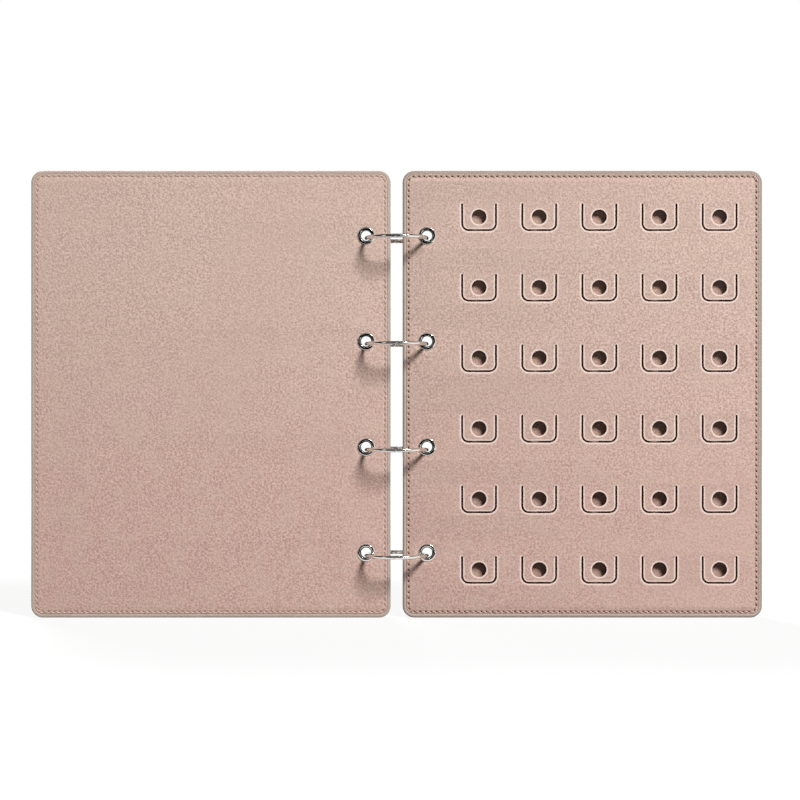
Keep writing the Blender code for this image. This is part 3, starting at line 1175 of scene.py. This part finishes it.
        # Painted shade in the back's needle holes and on the outer wall.
        marks = np.concatenate([dark * self.back_pit_shade, self.edge_shade_tone * edge_shade])
        border = walk.at(np.concatenate([flat, inset]), y)
        holes = self.pressed_holes(self.back_y, self.back_y - self.skin_thickness, -1)
        draft = Draft()
        closed_sheet(draft, [border, *holes], Facing.BACK, [marks] + [None] * len(holes))
        return draft.build(f"{self.prefix}_skin", finishes.leather, "edge")

    def make_stitches(self, finishes: Finishes) -> Piece:
        """The stitches of both faces, as one piece of thread.

        Args:
            finishes: The booklet's finishes.

        Returns:
            The piece.
        """
        seam = self.seam
        draft = Draft()
        fine = self.outline(self.stitch_count * seam.fine_steps)
        start = (1 - seam.thread_share) / 2
        share = np.linspace(start, 1 - start, seam.sections)
        picks = (np.arange(self.stitch_count)[:, None] + share) * seam.fine_steps
        picks = np.round(picks).astype(int).reshape(-1) % fine.count
        walk = Walk(fine.core[picks], fine.normal[picks], fine.radius[picks], fine.rounding[picks])
        for face_y, facing in ((self.front_y, Facing.FRONT), (self.back_y, Facing.BACK)):
            points, ply = seam.threads(walk, face_y, facing)
            for tube, mark in zip(points, ply):
                draft.tube(tube, facing is Facing.BACK, mark)
        return draft.build(f"{self.prefix}_stitches", finishes.face_thread, "ply")

    def sheet_in_skin(
        self,
        name: str,
        node: str,
        material: Material,
        windows: list[Array] | None = None,
        dents: list[Array] | None = None,
    ) -> Piece:
        """A flat sheet between the skin and the lining, with softened edges.

        Args:
            name: The new piece's name.
            node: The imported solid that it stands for.
            material: Its finish.
            windows: Borders of its openings, apart from the eyelets' holes.
            dents: Walls of the places where it is pressed down.

        Returns:
            The sheet.
        """
        box = Box.of(node)
        edge = box.low.x - self.skin_box.low.x
        inset, y = cut_edge(box, self.sheet_roll)
        border = self.outline(self.sheet_stations).at(inset + edge, y)
        holes = [self.barrel_hole(eyelet).at(inset, y) for eyelet in self.eyelet_boxes]
        draft = Draft()
        closed_sheet(draft, [border, *holes, *(windows or [])], Facing.FRONT, dents=dents)
        return draft.build(name, material)

    def make_common(self, finishes: Finishes) -> Piece:
        """Builds skin, stitches and eyelets, which both leaves have, and gives the skin.

        Args:
            finishes: The booklet's finishes.

        Returns:
            The skin.
        """
        skin = self.make_skin(finishes)
        settle(skin, self.body, "outer_skin", f"{self.prefix}_outer_skin")
        settle(self.make_stitches(finishes), self.body, "felt")
        for number, box in enumerate(self.eyelet_boxes, start=1):
            eyelet = Eyelet(box, self.back_y).make(f"{self.prefix}_grommet_{number}", finishes)
            settle(eyelet, self.body, "nickel", f"{self.prefix}_eyelet_{number}")
        return skin


@dataclass
class CoverLeaf(Leaf):
    """The left leaf: plain felt over a stiff board."""

    body: str = "cover_leaf"
    prefix: str = "cover"
    seam: Seam = Seam(
        groove_depth=0.10 * MM, slope_depth=0.05 * MM, thread_radius=0.17 * MM, thread_lift=-0.03 * MM
    )
    pit_share: float = 0.45
    # The cover takes less painted shade in its needle holes and on its outer wall than the holder.
    pit_shade: float = 0.34
    edge_shade_tone: float = 0.40

    def make(self, finishes: Finishes) -> None:
        """Builds the leaf's pieces.

        Args:
            finishes: The booklet's finishes.
        """
        skin = self.make_common(finishes)
        lining = settle(self.make_lining(finishes), self.body, "felt", "cover_lining")
        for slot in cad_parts["cover_board"].material_slots:
            slot.material = finishes.board


@dataclass
class HolderLeaf(Leaf):
    """The right leaf: thirty slit tongues over pockets in a core sheet, with a felt floor."""

    body: str = "holder_leaf"
    prefix: str = "holder"

    def __post_init__(self) -> None:
        """Reads the leaf's places and its tongues' places."""
        super().__post_init__()
        rows, columns = range(1, ROWS + 1), range(1, COLUMNS + 1)
        self.tongues = [Tongue(row, column) for row in rows for column in columns]

    def make(self, finishes: Finishes) -> None:
        """Builds the leaf's pieces.

        Args:
            finishes: The booklet's finishes.
        """
        skin = self.make_common(finishes)
        pockets = [tongue.pocket_border() for tongue in self.tongues]
        dents = [tongue.floor_dent() for tongue in self.tongues]
        core = self.sheet_in_skin("holder_core", "holder_spacer", finishes.core, pockets)
        settle(core, self.body, "spacer", "holder_spacer")
        floor = self.sheet_in_skin(
            "holder_felt_floor", "holder_floor_felt", finishes.floor_felt, dents=dents
        )
        settle(floor, self.body, "felt", "holder_floor_felt")
        lining = settle(self.make_lining(finishes), self.body, "felt", "holder_lining")
        pieces = [tongue.make(finishes) for tongue in self.tongues]
        LOG.info("%d tongues of %d faces each", len(pieces), len(pieces[0].data.polygons))

    def lining_windows(self) -> list[tuple[Array, Array]]:
        """The U-shaped slits, each with its tongue's place."""
        return [tongue.window_border() for tongue in self.tongues]


@dataclass
class Tongue:
    """One tongue: felt cut free by a U-shaped slit, bending at its root, with a round hole."""

    row: int
    column: int
    slit: float = 0.90 * MM
    pocket_margin: float = 0.90 * MM
    corner_radius: float = 2.9 * MM
    edge_roll: float = 0.13 * MM
    hole_roll: float = 0.16 * MM
    root_gap: float = 0.30 * MM
    hole_radius: float = 3.75 * MM
    hole_drop: float = 6.5 * MM
    root_stand_in: float = 0.05 * MM
    bend_length: float = 3.6 * MM
    fray: float = 0.035 * MM
    stray: float = 0.16 * MM
    bow_least: float = 0.35
    bow_spread: float = 0.65
    twist_share: float = 0.5
    curl_share: float = 0.35
    # Painted shade down each cut's wall, and a painted highlight on the flat felt beside it.
    cut_shade: float = 0.80
    fluff: float = 0.90
    lip_highlight_reach: float = 1.0 * MM
    wall_highlight_rows: tuple[float, float] = (1.0, 0.4)
    hole_highlight_rows: tuple[float, float] = (0.4, 0.9)
    dent_least: float = 0.05 * MM
    dent_spread: float = 0.52 * MM
    dent_wall: float = 0.70 * MM
    dent_inset: float = 0.12 * MM
    dent_reach: tuple[float, float] = (62 * MM, 70 * MM)
    dent_rise: float = 6.0 * MM
    dent_steps: int = 4
    pocket_roll: float = 0.15 * MM
    pocket_radius: float = 3.2 * MM
    pocket_stations: int = 64
    lip_steps: int = 3
    top_rows: int = 3
    under_rows: int = 4
    root_stations: int = 16
    slit_end_stations: int = 8
    side_stations: int = 9
    end_stations: int = 11
    edge_seed: int = 500
    hole_seed: int = 900

    def __post_init__(self) -> None:
        """Reads the tongue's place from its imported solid."""
        self.node = f"tongue_r{self.row}_c{self.column}"
        box = Box.of(self.node)
        self.half = box.size.x / 2
        self.root = (box.centre.x, box.high.z + self.root_gap)
        self.length = self.root[1] - box.low.z
        self.front_y, self.back_y = box.low.y, box.high.y
        self.hole_z = self.root[1] - self.hole_drop
        self.seed = 10 * self.row + self.column

    def u_walk(self, margin: float, end_radius: float) -> Walk:
        """Stations round the tongue or round its window, clockwise from the front.

        The outline is the root line, a side, a round corner, the end, a corner and the other
        side. A window also has the half-round ends of its slit above the root line. Each run
        goes from one row of a table to the next by straight-line interpolation: on a straight
        side the core moves in as its radius grows, so the side stays straight.

        Args:
            margin: How far the outline lies outside the tongue.
            end_radius: The radius of the slit's ends, 0 for the tongue itself.

        Returns:
            The stations, in the leaf's frame.
        """
        corner = self.corner_radius + margin
        x, z = self.half + margin - corner, corner - self.length - margin
        end, reach = self.half + end_radius, self.half - self.edge_roll - self.root_stand_in
        ends, side = self.slit_end_stations if end_radius else 0, self.side_stations
        runs = [
            ((-reach, 0, 0, 90, 0), (reach, 0, 0, 90, 0), self.root_stations),
            ((end, 0, end_radius, 180, 1), (end, 0, end_radius, 0, 1), ends),
            ((end, 0, end_radius, 0, 1), (x, z, corner, 0, 1), side),
            ((x, z, corner, 0, 1), (x, z, corner, -90, 1), side),
            ((x, z, corner, -90, 1), (-x, z, corner, -90, 1), self.end_stations),
            ((-x, z, corner, -90, 1), (-x, z, corner, -180, 1), side),
            ((-x, z, corner, -180, 1), (-end, 0, end_radius, -180, 1), side),
            ((-end, 0, end_radius, -180, 1), (-end, 0, end_radius, -360, 1), ends),
        ]
        runs = [run for run in runs if run[2]]
        parts = [
            np.linspace(start, stop, count, endpoint=number in (0, len(runs) - 1))
            for number, (start, stop, count) in enumerate(runs)
        ]
        table = np.concatenate(parts)
        core = table[:, :2] + np.array(self.root)
        return Walk.turned(core, np.radians(table[:, 3]), table[:, 2], table[:, 4])

    def window_border(self) -> tuple[Array, Array]:
        """The slit's outer wall: a painted highlight beside it, a rounded lip, then straight down to
        the underside.

        Two rows lie flat in the field beside the cut and carry the painted highlight. They close up on
        it towards the root.

        Returns:
            The wall's points, and the mark of each: painted shade above 0, painted highlight below 0.
        """
        walk = self.u_walk(self.slit, self.slit / 2)
        inset, y = self.cut_wall(walk, self.seed)
        place = walk.line - np.array(self.root)
        open_side = np.clip((np.abs(place[:, 0]) - self.half) / self.slit, 0, 1)
        open_side = np.where(place[:, 1] < -self.slit, 1.0, open_side)
        nap = inset[:1] + np.array(self.wall_highlight_rows)[:, None] * self.lip_highlight_reach * open_side
        flat = np.full(nap.shape, self.front_y)
        rows = walk.facing_out().at(np.concatenate([nap, inset]), np.concatenate([flat, y]))
        return rows, self.cut_marks(walk)

    def cut_wall(self, walk: Walk, seed: int) -> tuple[Array, Array]:
        """Insets and depths down a frayed cut: a rounded lip, then straight to the underside.

        Args:
            walk: The cut's outline.
            seed: Picks its fraying.

        Returns:
            Insets and depths, each shaped (rows, stations).
        """
        roll, down = rounded_edge(self.edge_roll, self.lip_steps)
        fray = wobble(walk.count, seed, self.fray) * walk.rounding
        lip = self.front_y + down[:, None] * walk.rounding
        foot = np.full((1, walk.count), self.back_y)
        return np.append(roll, 0)[:, None] + fray, np.concatenate([lip, foot])

    def lip_marks(self) -> Array:
        """The marks over a cut's rounded lip: a painted highlight at first, then painted shade as w **
        2.

        Returns:
            One mark for each row of the lip.
        """
        marks = self.cut_shade * np.linspace(0, 1, self.lip_steps + 1) ** 2
        marks[0] = -self.fluff
        return marks

    def cut_marks(self, walk: Walk) -> Array:
        """The marks from the painted highlight beside a cut to the painted shade down its wall; none
        where it is cut square.
        """
        return np.array([0, -self.fluff, *self.lip_marks(), self.cut_shade])[:, None] * walk.rounding

    def pocket_walk(self, margin: float) -> Walk:
        """The outline of the pocket behind the tongue, or of a loop inside it, clockwise.

        Args:
            margin: How far inside the pocket's wall the loop lies.

        Returns:
            The stations.
        """
        outer = self.slit + self.pocket_margin
        width, depth = 2 * (self.half + outer), self.length + outer
        centre = (self.root[0], self.root[1] - depth / 2)
        sides = width - 2 * margin, depth - 2 * margin
        walk = rectangle_walk(centre, *sides, self.pocket_radius - margin, 0, self.pocket_stations)
        return walk.reversed().facing_out()

    def pocket_border(self) -> Array:
        """The pocket's wall in the core sheet behind the tongue."""
        return self.pocket_walk(0).at(*cut_edge(Box.of("holder_spacer"), self.pocket_roll))

    def floor_dent(self) -> Array:
        """The step down to the pocket's ground, where the floor felt is pressed into the skin.

        The pockets near the middle of the lower half are the deepest: depth = least + spread *
        bell(x) * bell(z). Down the step, the felt sinks and runs inwards as sin(t) ** 2.

        Returns:
            The step's points, from the flat felt down to the ground.
        """
        top = Box.of("holder_floor_felt").low.y
        middle = Box.of("tongue_r4_c3").centre
        away_x, away_z = self.root[0] - middle.x, self.root[1] - middle.z
        reach_x, reach_z = self.dent_reach
        spread = bell(away_x, reach_x) * bell(away_z + self.dent_rise, reach_z)
        depth = self.dent_least + self.dent_spread * float(spread)
        share = np.sin(quarter_turn(self.dent_steps))[:, None] ** 2
        return self.pocket_walk(self.dent_inset).at(-self.dent_wall * share, top + depth * share)

    def lean(self, points: Array) -> Array:
        """How far the tongue has strayed from flat.

        It is a bow that grows with the square of the way down, a twist that grows with the way
        down times the way across, and a curl with the way down times across squared, each with
        a seeded size.

        Args:
            points: Points shaped (..., 3).

        Returns:
            Metres in y, 0 at the root.
        """
        bow, twist, curl = np.random.default_rng(self.seed).uniform(-1, 1, 3)
        down = (self.root[1] - points[..., 2]) / self.length
        across = (points[..., 0] - self.root[0]) / self.half
        shape = (self.bow_least + self.bow_spread * bow) * down**2
        shape = shape + self.twist_share * twist * down * across
        return self.stray * (shape + self.curl_share * curl * down * across**2)

    def grid(self) -> tuple[Array, Array]:
        """The tongue as a closed band from its hole out to its edge and back underneath.

        Every station has a point on the outline and the point of the hole's edge on the line
        from it to the hole's centre. Two rows beside each cut carry its painted highlight, and the
        rows between them share the rest of that line evenly.

        Returns:
            Points shaped (rows, stations, 3), with the last row next to the first, and the mark
            of each: painted shade above 0, painted highlight below 0.
        """
        walk = self.u_walk(0, 0).reversed()
        edge_rows = walk.at(*self.cut_wall(walk, self.seed + self.edge_seed))
        centre = np.array([self.root[0], self.hole_z])
        away = walk.line - centre
        away /= np.linalg.norm(away, axis=1)[:, None]

        hole = self.hole_radius + wobble(walk.count, self.seed + self.hole_seed, self.fray)
        lip = rounded_edge(self.hole_roll, self.lip_steps)
        hole_in, hole_down = (row[::-1, None] for row in lip)
        hole_flat = centre + (hole + hole_in)[..., None] * away
        hole_rows = side_by_side(hole_flat[..., 0], self.front_y + hole_down, hole_flat[..., 1])
        hole_foot = hole_rows[:1] * [1, 0, 1] + [0, self.back_y, 0]

        outward = side_by_side(away[:, 0], 0, away[:, 1])
        nap = np.array(self.hole_highlight_rows)[:, None, None] * self.lip_highlight_reach
        by_hole = hole_rows[-1:] + nap * outward
        by_edge = edge_rows[:1] - nap[::-1] * outward
        top = between(by_hole[-1:], by_edge[:1], self.top_rows)
        under = between(edge_rows[-1:], hole_foot, self.under_rows)
        grid = np.concatenate([hole_rows, by_hole, top, by_edge, edge_rows, under, hole_foot])
        grid[..., 1] += self.lean(grid)

        hole_marks = np.tile([*self.lip_marks()[::-1], -self.fluff, 0], (walk.count, 1)).T
        no_marks = np.zeros_like(grid[..., 0])
        rows = [hole_marks, no_marks[: len(top)], self.cut_marks(walk), no_marks[: len(under)]]
        return grid, np.concatenate([*rows, np.full((1, walk.count), self.cut_shade)])

    def make(self, finishes: Finishes) -> Piece:
        """Builds the tongue.

        Args:
            finishes: The booklet's finishes.

        Returns:
            The piece.
        """
        draft = Draft()
        grid, marks = self.grid()
        draft.lattice(grid, wrap_rows=True, marks=marks)
        piece = draft.build(f"felt_{self.node}", finishes.felt, "pit")
        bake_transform(piece)
        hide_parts(self.node)
        return piece


@dataclass
class Eyelet:
    """A rolled eyelet: a domed flange on each face and a smooth bore between them."""

    box: Box
    leaf_half: float
    bore_radius: float = 2.6 * MM
    barrel_wall: float = 0.6 * MM
    flange_seat: float = 0.16 * MM
    rim_thickness: float = 0.12 * MM
    rim_round: float = 0.03 * MM
    rim_under: float = 0.10 * MM
    mouth_radius: float = 1.0 * MM
    # Painted shade down the throat, from the bore to partway over the mouth.
    throat_reach: tuple[float, ...] = (0.0, 0.35, 0.75)
    throat_shade: tuple[float, ...] = (1.0, 1.0, 0.0)
    steps: int = 7
    sides: int = 72

    def profile(self) -> Array:
        """(radius, height) round the front half's wall, from the bore out to the barrel.

        The mouth is a quarter circle from the bore to the crest; from the crest the dome falls
        to the rim as half a cosine, and the flange's underside goes back to the barrel.

        Returns:
            Points, with heights above the middle of the leaf.
        """
        crown = -self.box.low.y
        rim = self.box.size.x / 2
        seat = self.leaf_half - self.flange_seat
        mouth_down, mouth_out = rounded_edge(self.mouth_radius, self.steps)
        mouth_r, mouth_h = self.bore_radius + mouth_out, crown - mouth_down
        share = np.linspace(0, 1, self.steps + 1)[1:]
        crest = self.bore_radius + self.mouth_radius
        rim_h = seat + self.rim_thickness
        dome_r = crest + (rim - crest) * np.sin(share * math.pi / 2)
        dome_h = rim_h + (crown - rim_h) * np.cos(share * math.pi / 2)
        under_r = rim - self.rim_round, rim - self.rim_under, self.bore_radius + self.barrel_wall
        under_h = seat + self.rim_round, seat, seat
        radius = np.concatenate([mouth_r, dome_r, under_r])
        return side_by_side(radius, np.concatenate([mouth_h, dome_h, under_h]))

    def make(self, name: str, finishes: Finishes) -> Piece:
        """Turns the profile of both halves round the eyelet's axis.

        Args:
            name: The eyelet's name.
            finishes: The booklet's finishes.

        Returns:
            The piece.
        """
        across, up, height = turned_solid(self.profile(), self.sides)
        grid = side_by_side(self.box.centre.x + across, -height, self.box.centre.z + up)
        # Painted shade in the throat, as the attribute bore.
        share = (across[:, :1] - self.bore_radius) / self.mouth_radius
        bore_shade_mark = np.interp(share, self.throat_reach, self.throat_shade)
        draft = Draft()
        draft.lattice(grid, wrap_rows=True, marks=np.broadcast_to(bore_shade_mark, across.shape))
        return draft.build(name, finishes.nickel, "bore")


@dataclass
class BookRings:
    """Four hinged book rings. Each has two half hoops, which lap at the front, and a rivet."""

    mean_radius: float = 15.7 * MM
    wire_radius: float = 1.0 * MM
    lap_gap: float = 0.10 * MM
    lap_reach: float = 2.0 * MM
    tip_reach: float = 1.75 * MM
    knuckle_share: float = 0.9
    knuckle_clearance: float = 0.2 * MM
    rivet_radius: float = 0.52 * MM
    rivet_dome: float = 0.16 * MM
    rivet_flat: float = 0.05 * MM
    rivet_lip: float = 0.02 * MM
    shank_radius: float = 0.36 * MM
    rivet_steps: int = 5
    rivet_sides: int = 24
    end_steps: int = 6
    end_round: float = 0.93
    tip_taper: float = 0.016
    tip_least: float = 0.05
    tip_spare: float = 0.004
    stations: int = 110
    sides: int = 28

    def half_hoop(self) -> Array:
        """The left half hoop about its ring's centre.

        A circle of the wire's radius is carried along the arc from the rivet to past the lap.
        Beyond the rivet it narrows as a half round. Then each point that lies below the lap's
        slant, z = gap / 2 + x * wire radius / reach, is lifted onto it, and each point near the
        rivet is kept between the knuckle's two flats.

        Returns:
            Points shaped (rings, sides, 3).
        """
        tip = math.asin(self.tip_reach / self.mean_radius)
        angle = np.linspace(math.pi / 2, 1.5 * math.pi + tip, self.stations)
        round_off = quarter_turn(self.end_steps)[:0:-1] * self.end_round
        angle = np.concatenate([np.full(len(round_off), math.pi / 2), angle])
        beyond = np.concatenate([np.sin(round_off), np.zeros(self.stations)]) * self.wire_radius
        narrow = np.concatenate([np.cos(round_off), np.ones(self.stations)])
        end = np.linspace(0, 1, self.stations + len(round_off))
        tip_share = (1 + self.tip_spare - end) / self.tip_taper
        narrow = narrow * np.sqrt(np.clip(tip_share, self.tip_least, 1))
        turn = full_turn(self.sides)
        outward = side_by_side(np.cos(angle), np.sin(angle), 0)
        along = side_by_side(-np.sin(angle), np.cos(angle), 0)
        middle = self.mean_radius * outward - beyond[:, None] * along
        across = self.wire_radius * narrow[:, None] * np.cos(turn)
        points = middle[:, None] + across[..., None] * outward[:, None]
        x, y = points[..., 0], points[..., 1]
        high = np.broadcast_to(self.wire_radius * np.sin(turn), across.shape)
        slant = self.lap_gap / 2 + x * self.wire_radius / self.lap_reach
        high = np.where(y < 0, np.maximum(high, slant), high)
        near = np.hypot(x, y - self.mean_radius)
        knuckle = near < self.wire_radius + self.knuckle_clearance
        flat, top = self.lap_gap / 2, self.wire_radius * self.knuckle_share
        return side_by_side(x, y, np.where(knuckle, np.clip(high, flat, top), high))

    def make_half(self, name: str, centre: Vector, turned: bool, finishes: Finishes) -> Piece:
        """A half hoop in its place; the right one is the left one turned half round about Y.

        Args:
            name: The half hoop's name.
            centre: The ring's centre.
            turned: Whether it is the right half.
            finishes: The booklet's finishes.

        Returns:
            The piece.
        """
        points = self.half_hoop()
        if turned:
            points = points * [-1, 1, -1]
        draft = Draft()
        draft.tube(points + np.array(centre))
        return draft.build(name, finishes.nickel)

    def make_rivet(self, name: str, box: Box, finishes: Finishes) -> Piece:
        """The rivet: a straight shank with a low domed head at each end.

        Radius and height follow head radius * sin(t) and dome * cos(t) over a head, and the
        shank joins the two heads.

        Args:
            name: The rivet's name.
            box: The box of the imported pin.
            finishes: The booklet's finishes.

        Returns:
            The piece.
        """
        turn = quarter_turn(self.rivet_steps)[1:]
        seat = self.wire_radius * self.knuckle_share
        head_r, head_h = self.rivet_radius * np.sin(turn), seat + self.rivet_dome * np.cos(turn)
        radius = np.array([self.rivet_flat, *head_r, self.shank_radius])
        height = np.array([seat + self.rivet_dome, *head_h, seat - self.rivet_lip])
        turned = turned_solid(side_by_side(radius, height), self.rivet_sides)
        draft = Draft()
        draft.tube(side_by_side(*turned) + np.array(box.centre))
        return draft.build(name, finishes.nickel)

    def make(self, finishes: Finishes) -> None:
        """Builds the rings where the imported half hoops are.

        Args:
            finishes: The booklet's finishes.
        """
        for number in range(1, RINGS + 1):
            name, pin = f"ring_{number}", Box.of(f"ring_pin_{number}")
            centre = Vector((pin.centre.x, pin.centre.y - self.mean_radius, pin.centre.z))
            left = self.make_half(f"{name}_left_hoop", centre, False, finishes)
            right = self.make_half(f"{name}_right_hoop", centre, True, finishes)
            rivet = self.make_rivet(f"{name}_rivet", pin, finishes)
            settle(left, "ring_left_halves", "nickel", f"ring_left_half_{number}")
            settle(right, "ring_right_halves", "nickel", f"ring_right_half_{number}")
            settle(rivet, "ring_right_halves", "nickel", f"ring_pin_{number}")


def stage_card(name: str, centre: Place, right: Place, up: Place, material: Material) -> Piece:
    """A flat four-cornered part of the stage, given by its middle and two half sides.

    Args:
        name: The card's name.
        centre: Its middle.
        right: From its middle to the middle of its right side.
        up: From its middle to the middle of its upper side.
        material: Its finish.

    Returns:
        The card.
    """
    middle, across, along = Vector(centre), Vector(right), Vector(up)
    near, far = middle - along, middle + along
    mesh = bpy.data.meshes.new(name)
    mesh.from_pydata([near - across, near + across, far + across, far - across], [], [(0, 1, 2, 3)])
    mesh.materials.append(material)
    card = add_object(name, mesh)
    return card


@dataclass(frozen=True)
class Lamp:
    """A soft round lamp that looks at the middle of the booklet.

    The level is the share of a leaf's brightness that it gives: at level 1 a matt leaf square
    to Y renders as its colour is written. For a lamp at distance d whose light meets the leaf
    at an angle a, that takes pi ** 2 * d ** 2 / cos(a) watts.
    """

    name: str
    towards: Place
    distance: float
    size: float
    level: float

    def make(self, middle: Vector) -> None:
        """Adds the lamp at its distance from the middle of the booklet.

        Args:
            middle: The middle of the booklet.
        """
        way = Vector(self.towards).normalized()
        light = bpy.data.lights.new(self.name, "AREA")
        light.shape = "DISK"
        light.size = self.size
        light.energy = self.level * (math.pi * self.distance) ** 2 / abs(way.y)
        lamp = add_object(self.name, light)
        lamp.location = middle + self.distance * way
        lamp.rotation_euler = (-way).to_track_quat("-Z", "Y").to_euler()


@dataclass(frozen=True)
class Flag:
    """A black card that only mirrors see, so that polished metal shows dark edges."""

    name: str
    centre: Place
    half_width: Place
    half_height: Place

    def make(self, material: Material) -> None:
        """Adds the card, hidden from camera, diffuse, shadow and transmission rays.

        Args:
            material: The black of the card.
        """
        card = stage_card(self.name, self.centre, self.half_width, self.half_height, material)
        card.visible_camera = False
        card.visible_diffuse = False
        card.visible_shadow = False
        card.visible_transmission = False


@dataclass(frozen=True)
class Studio:
    """Camera, lamps, pale floor and white surroundings."""

    camera_place: Place = (0.00174, -0.8793, 0.112)
    focal_length: float = 76.7
    sensor: float = 36.0
    near_limit: float = 0.01
    floor_half: float = 2.5
    floor_colour: Colour = (0.11, 0.11, 0.11)
    floor_glow: Ramp = (0.82, 1.0)
    glow_reach: Ramp = (0.30, 1.30)
    room_light: Colour = (0.058, 0.038, 0.030)
    white: Colour = (1.0, 1.0, 1.0)
    black: Colour = (0.004, 0.004, 0.004)
    middle: Place = (0.0, 0.0, 0.115)
    lamps: tuple[Lamp, ...] = (
        Lamp("key", (0.84, -1.0, 1.24), 4.9, 1.45, 0.93),
        Lamp("rear", (-0.4, 1.0, 1.2), 2.6, 1.2, 0.80),
    )
    flags: tuple[Flag, ...] = (
        Flag("flag_top", (0.0, 0.15, 1.0), (1.5, 0.0, 0.0), (0.0, 1.05, 0.0)),
        Flag("flag_front", (0.0, -1.25, 0.48), (1.05, 0.0, 0.0), (0.0, 0.0, 0.47)),
        Flag("flag_low", (-0.35, -0.68, 0.004), (0.55, 0.0, 0.0), (0.0, 0.57, 0.0)),
        Flag("flag_left", (-1.3, -0.25, 0.42), (0.0, 0.75, 0.0), (0.0, 0.0, 0.41)),
        Flag("flag_behind", (0.0, 0.28, 0.004), (1.5, 0.0, 0.0), (0.0, 0.27, 0.0)),
    )

    def make_camera(self) -> None:
        """A camera at the photograph's angle: level, and square to the leaves."""
        data = bpy.data.cameras.new("camera")
        data.lens = self.focal_length
        data.sensor_width = self.sensor
        data.dof.use_dof = False
        data.clip_start = self.near_limit
        camera = add_object("camera", data)
        camera.location = self.camera_place
        camera.rotation_euler = (math.radians(90), 0, 0)
        bpy.context.scene.camera = camera

    @staticmethod
    def seen_rays(book: NodeBook) -> Socket:
        """1 for rays that come from the camera, a mirror or glass, and 0 for others.

        Args:
            book: The node tree that asks.

        Returns:
            The switch.
        """
        rays = book.add("LightPath").outputs
        seen = book.math("MAXIMUM", rays["Is Camera Ray"], rays["Is Glossy Ray"])
        return book.math("MAXIMUM", seen, rays["Is Transmission Ray"])

    def make_world(self) -> None:
        """White where it is seen, and a faint warm fill as a light."""
        world = bpy.data.worlds.new("surroundings")
        world.use_nodes = True
        book = NodeBook(world.node_tree)
        colour = book.blend(self.seen_rays(book), self.room_light, self.white)
        book.feed(world.node_tree.nodes["Background"].inputs["Color"], colour)
        bpy.context.scene.world = world

    def make_floor(self) -> None:
        """A pale floor that keeps the booklet's shadow.

        Where it is seen, the floor glows, and more so with the distance from the booklet, so
        that it runs into the white surroundings.
        """
        book = Coat("pale_floor")
        reach = book.add("VectorMath", operation="LENGTH")
        book.feed(reach.inputs[0], book.coordinates)
        ramp = book.span(reach.outputs["Value"], *self.glow_reach, *self.floor_glow)
        material = book.finish(
            base_color=self.floor_colour,
            roughness=0.9,
            specular_ior_level=0.0,
            emission_color=self.white,
            emission_strength=book.math("MULTIPLY", self.seen_rays(book), ramp),
        )
        half = self.floor_half
        stage_card("floor", (0.0, 0.0, 0.0), (half, 0.0, 0.0), (0.0, half, 0.0), material)

    def make(self) -> None:
        """Builds the studio."""
        self.make_camera()
        self.make_world()
        self.make_floor()
        for lamp in self.lamps:
            lamp.make(Vector(self.middle))
        card = Coat("black_card").finish(
            base_color=self.black, roughness=1.0, specular_ior_level=0.0
        )
        for flag in self.flags:
            flag.make(card)
        bpy.context.scene.view_settings.view_transform = "Standard"


def main() -> None:
    """Builds the booklet and its studio."""
    logging.basicConfig(level=logging.INFO, format="%(name)s: %(message)s")
    Studio().make()
    finishes = Finishes.make()
    CoverLeaf().make(finishes)
    HolderLeaf().make(finishes)
    BookRings().make(finishes)


if __name__ == "__main__":
    main()
